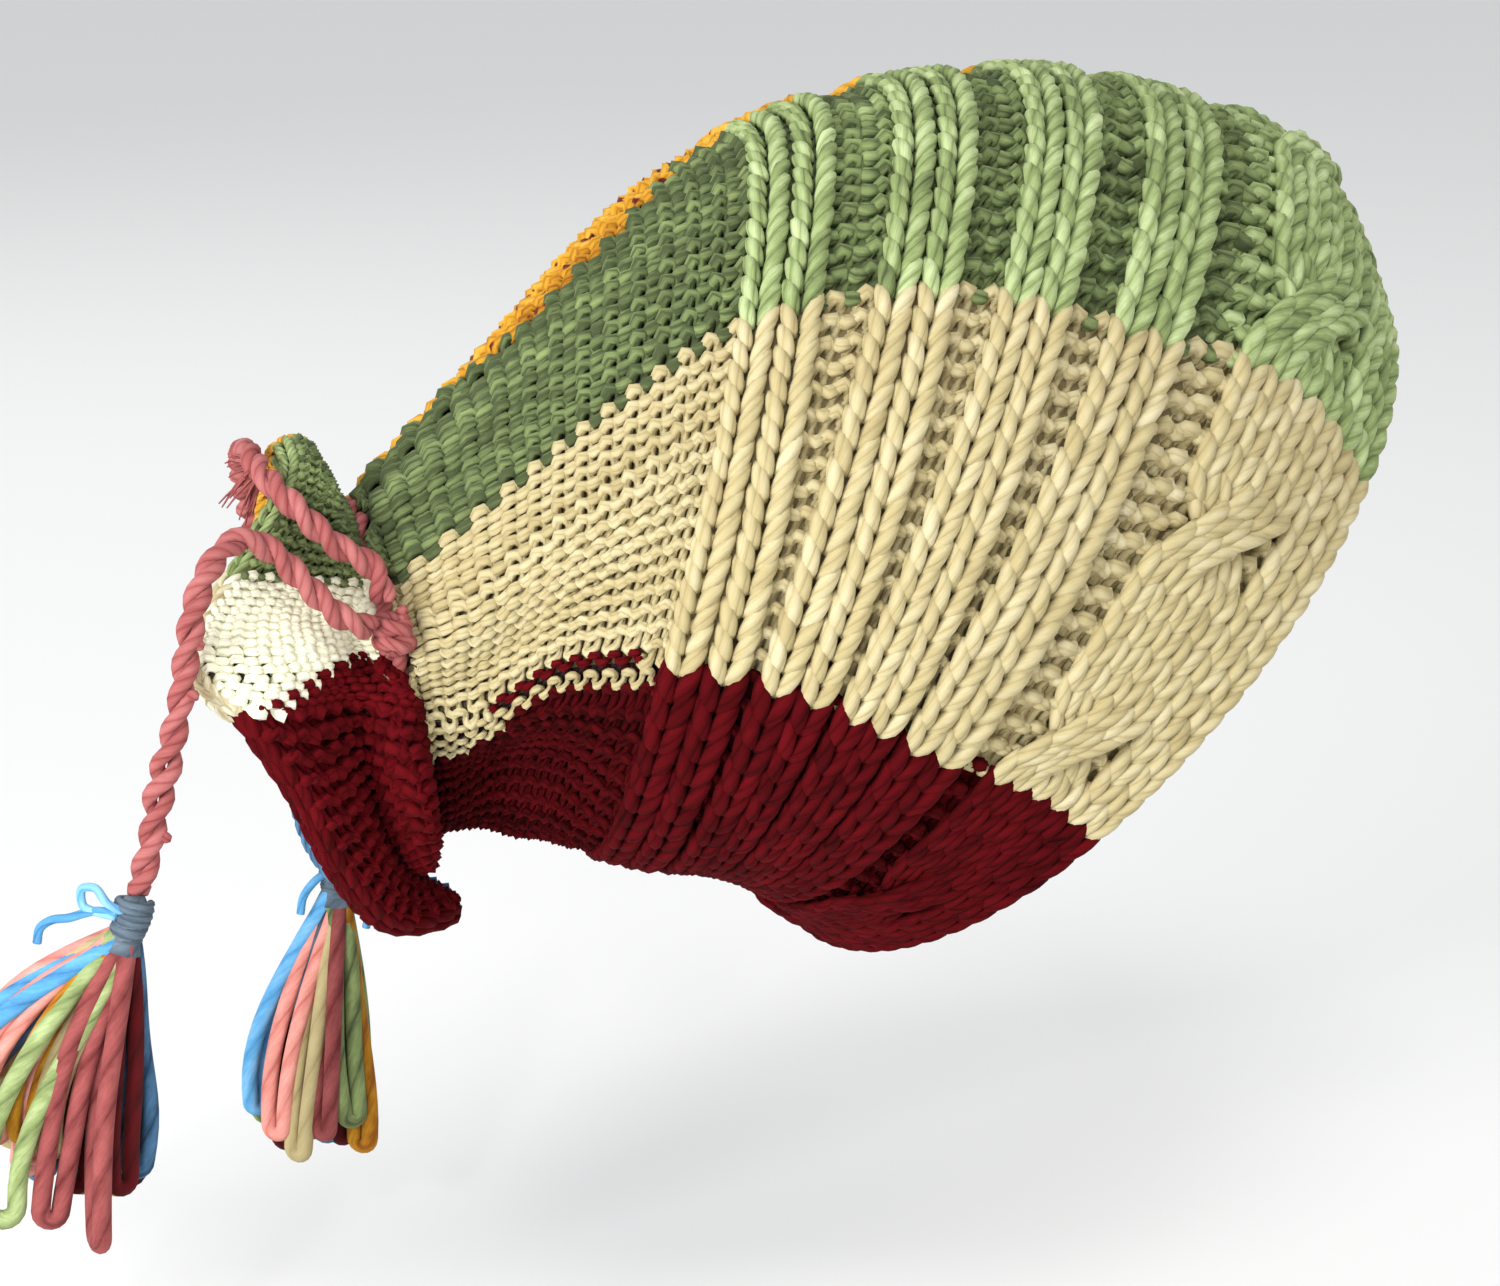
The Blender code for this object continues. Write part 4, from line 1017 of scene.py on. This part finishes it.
def tassel(name, node_name, top, hangs, strands, ties):
    """A wrapped head and doubled yarns that fall from it."""
    down = np.array(hangs)
    aside = unit(np.cross(down, np.array([0.45, 0.85, 0.0])))
    across = np.cross(down, aside)
    turn = np.linspace(0, WRAP_TURNS * math.tau, WRAP_TURNS * 14)
    below = np.linspace(WRAP_START, WRAP_END, len(turn)) + 0.35 * MM * np.sin(turn * 0.5)
    swell = WRAP_RADIUS + WRAP_SWELL * np.sin(np.pi * (below / (12 * MM)) ** 0.7)
    outward = np.cos(turn)[:, None] * aside + np.sin(turn)[:, None] * across
    wrap = top + np.outer(below, down) + swell[:, None] * outward
    core = top + np.outer(np.linspace(0, CORE_LENGTH, len(CORE_RADII)), down)
    yarns = [("slate", yarn_part(wrap, outward, 1.1 * MM, 8)),
             ("slate", yarn_part(core, aside, CORE_RADII, 14))]
    for colour, *place, thick in strands:
        path = strand_loop(top, down, *place)
        yarns.append((colour, yarn_part(path, TOWARD, thick * MM, 10, STRAND_SHADE)))
    for tie in ties:
        path = smooth_route([hung(top, *point) for point in tie], 40)
        yarns.append(("sky", yarn_part(path, TOWARD, 1.15 * MM, 8)))
    colours = sorted({colour for colour, _ in yarns})
    made = mesh_object(name, [(part, colours.index(colour)) for colour, part in yarns],
                       [strand_wool[colour] for colour in colours])
    return dress(made, node_name)


# Each doubled yarn: colour, how far its end lies to the left, below and in front of the tassel's top, the
# half gap between its legs and its radius, all in millimetres
NEAR_STRANDS = (
    ("green", 18, 80, -14, 3.2, 2.2), ("blue", 28, 76, -13, 3.2, 2.2), ("gold", 10, 80, -12, 3.2, 2.2),
    ("cream", 36, 66, -10, 3.2, 2.1), ("burgundy", 6, 76, -9, 3.0, 2.2), ("salmon", 31, 72, -6, 3.2, 2.2),
    ("slate", 22, 70, -5, 2.8, 2.1), ("blue", 3, 72, -4, 3.0, 2.2), ("cream", 38, 46, -3, 2.6, 2.0),
    ("salmon", 41, 44, 1, 2.5, 2.4), ("blue", 48, 68, 1, 2.8, 2.3), ("sky", 51, 56, 4, 2.7, 2.3),
    ("salmon", 38, 60, 4, 3.2, 2.1), ("gold", 31, 60, 5, 2.9, 2.0), ("burgundy", 17, 74, 2, 2.6, 2.2),
    ("cream", 24, 64, 5, 2.7, 2.0), ("burgundy", 5, 74, 2.5, 2.6, 2.2), ("rose", 12, 86, 8, 2.9, 2.5),
    ("rose", 23, 80, 9, 3.0, 2.5), ("green", 35, 78, 11, 4.4, 2.5), ("salmon", 29, 66, 3, 2.6, 1.9),
)
FAR_STRANDS = (
    ("blue", 20, 80, -12, 2.8, 2.3), ("cream", 8, 82, -14, 2.8, 2.3), ("salmon", -2, 79, -11, 2.8, 2.3),
    ("green", 22, 76, -2, 2.8, 2.4), ("burgundy", 16, 82, 3, 2.6, 2.3), ("sky", 24, 71, 5, 2.6, 2.3),
    ("rose", 8, 80, 0, 2.7, 2.3), ("gold", 1, 83, -4, 2.7, 2.4), ("slate", 12, 74, 7, 2.6, 2.2),
    ("blue", 5, 79, 6, 2.6, 2.3), ("salmon", 18, 76, 11, 2.7, 2.3), ("green", -4, 76, 1, 2.9, 2.4),
    ("burgundy", 0, 80, 5, 2.4, 2.4), ("gold", -5, 81, 7, 2.6, 2.4), ("green", -3, 72, 12, 2.6, 2.4),
    ("cream", 11, 82, 13, 2.6, 2.3), ("rose", 4, 75, 15, 2.5, 2.3),
)
NEAR_TIES = (
    ((3, 4, 3), (7, 1, 4), (10, -3, 4), (13, -2.5, 3), (13, 2, 3), (9, 3.5, 4), (5, 4.5, 4)),
    ((4, 5, 3), (9, 3, 4), (13, 4, 3), (17, 5.5, 2), (21, 6, 2), (24, 8, 2), (25, 12, 2)),
)
FAR_TIES = (
    ((3, 4, 3), (-4, 6, 5), (-8, 9, 6), (-9, 14, 6), (-8, 20, 6)),
    ((3, 5, 3), (6, 7, 5), (9, 11, 6), (10, 16, 6)),
)


for name, line, hangs, strands, ties, loose in (
        ("near", near_line, NEAR_TASSEL_HANGS, NEAR_STRANDS, NEAR_TIES, []),
        ("far", far_line, FAR_TASSEL_HANGS, FAR_STRANDS, FAR_TIES, [frays])):
    pieces = [tassel(f"tassel_{name}_yarns", "tassel_" + name, line[-1], hangs, strands, ties), *loose]

for number, colour in enumerate(BLOCKS):
    knitted = mesh_object("stitches_" + colour, [(part, 0) for part in stitches(number)], [woollen[colour]])
    dress(knitted, "panel_" + colour)
    # The cloth is darker than its yarn; the outer face, seen between the stitches, is darker still as
    # painted shade
    dark, middle, _ = YARNS[colour]
    sides = [matted_wool(side + colour, [low * c for c in dark], [high * c for c in middle])
             for side, low, high in (("under_", 0.6, 0.45), ("within_", 0.7, 0.85))]
    cloth = mesh_object("cloth_" + colour, shell(number), sides)
    dress(cloth, "panel_" + colour)


FLOOR_DROP, FLOOR_HALF = 0.05, 12
# Name, place, size and power
LIGHTS = (
    ("key", (-0.5, -0.9, 1.5), 0.6, 10), ("fill", (1.3, -1.0, 0.3), 1.2, 2.5),
    ("rim", (0.1, 1.4, 0.9), 1.0, 5), ("window", (-1.4, -0.4, 0.2), 0.5, 14),
    ("side", (-0.7, -0.5, 0.1), 0.05, 1.3),
)


def set_stage():
    """A pale floor below the tassels, a pale surround and soft lights."""
    height, half = cad_box[0].z - FLOOR_DROP, FLOOR_HALF
    data = bpy.data.meshes.new("floor")
    corners = ((-half, -half), (half, -half), (half, half), (-half, half))
    data.from_pydata([(*corner, height) for corner in corners], [], [(0, 1, 2, 3)])
    paint, _, shader = new_finish("floor")
    shader.inputs["Base Color"].default_value = (0.86, 0.86, 0.85, 1)
    shader.inputs["Roughness"].default_value = 0.9
    data.materials.append(paint)
    floor = placed("floor", data)
    world = bpy.data.worlds.new("world")
    bpy.context.scene.world = world
    world.use_nodes = True
    sky = world.node_tree.nodes["Background"].inputs
    sky["Color"].default_value, sky["Strength"].default_value = (0.97, 0.98, 1.0, 1), 0.72
    bpy.context.scene.view_settings.view_transform = "Standard"
    for name, place, size, power in LIGHTS:
        light = bpy.data.lights.new(name, "AREA")
        light.size, light.energy = size, power
        aimed(placed(name, light), place, CAMERA_AIM - Vector(place))


set_stage()
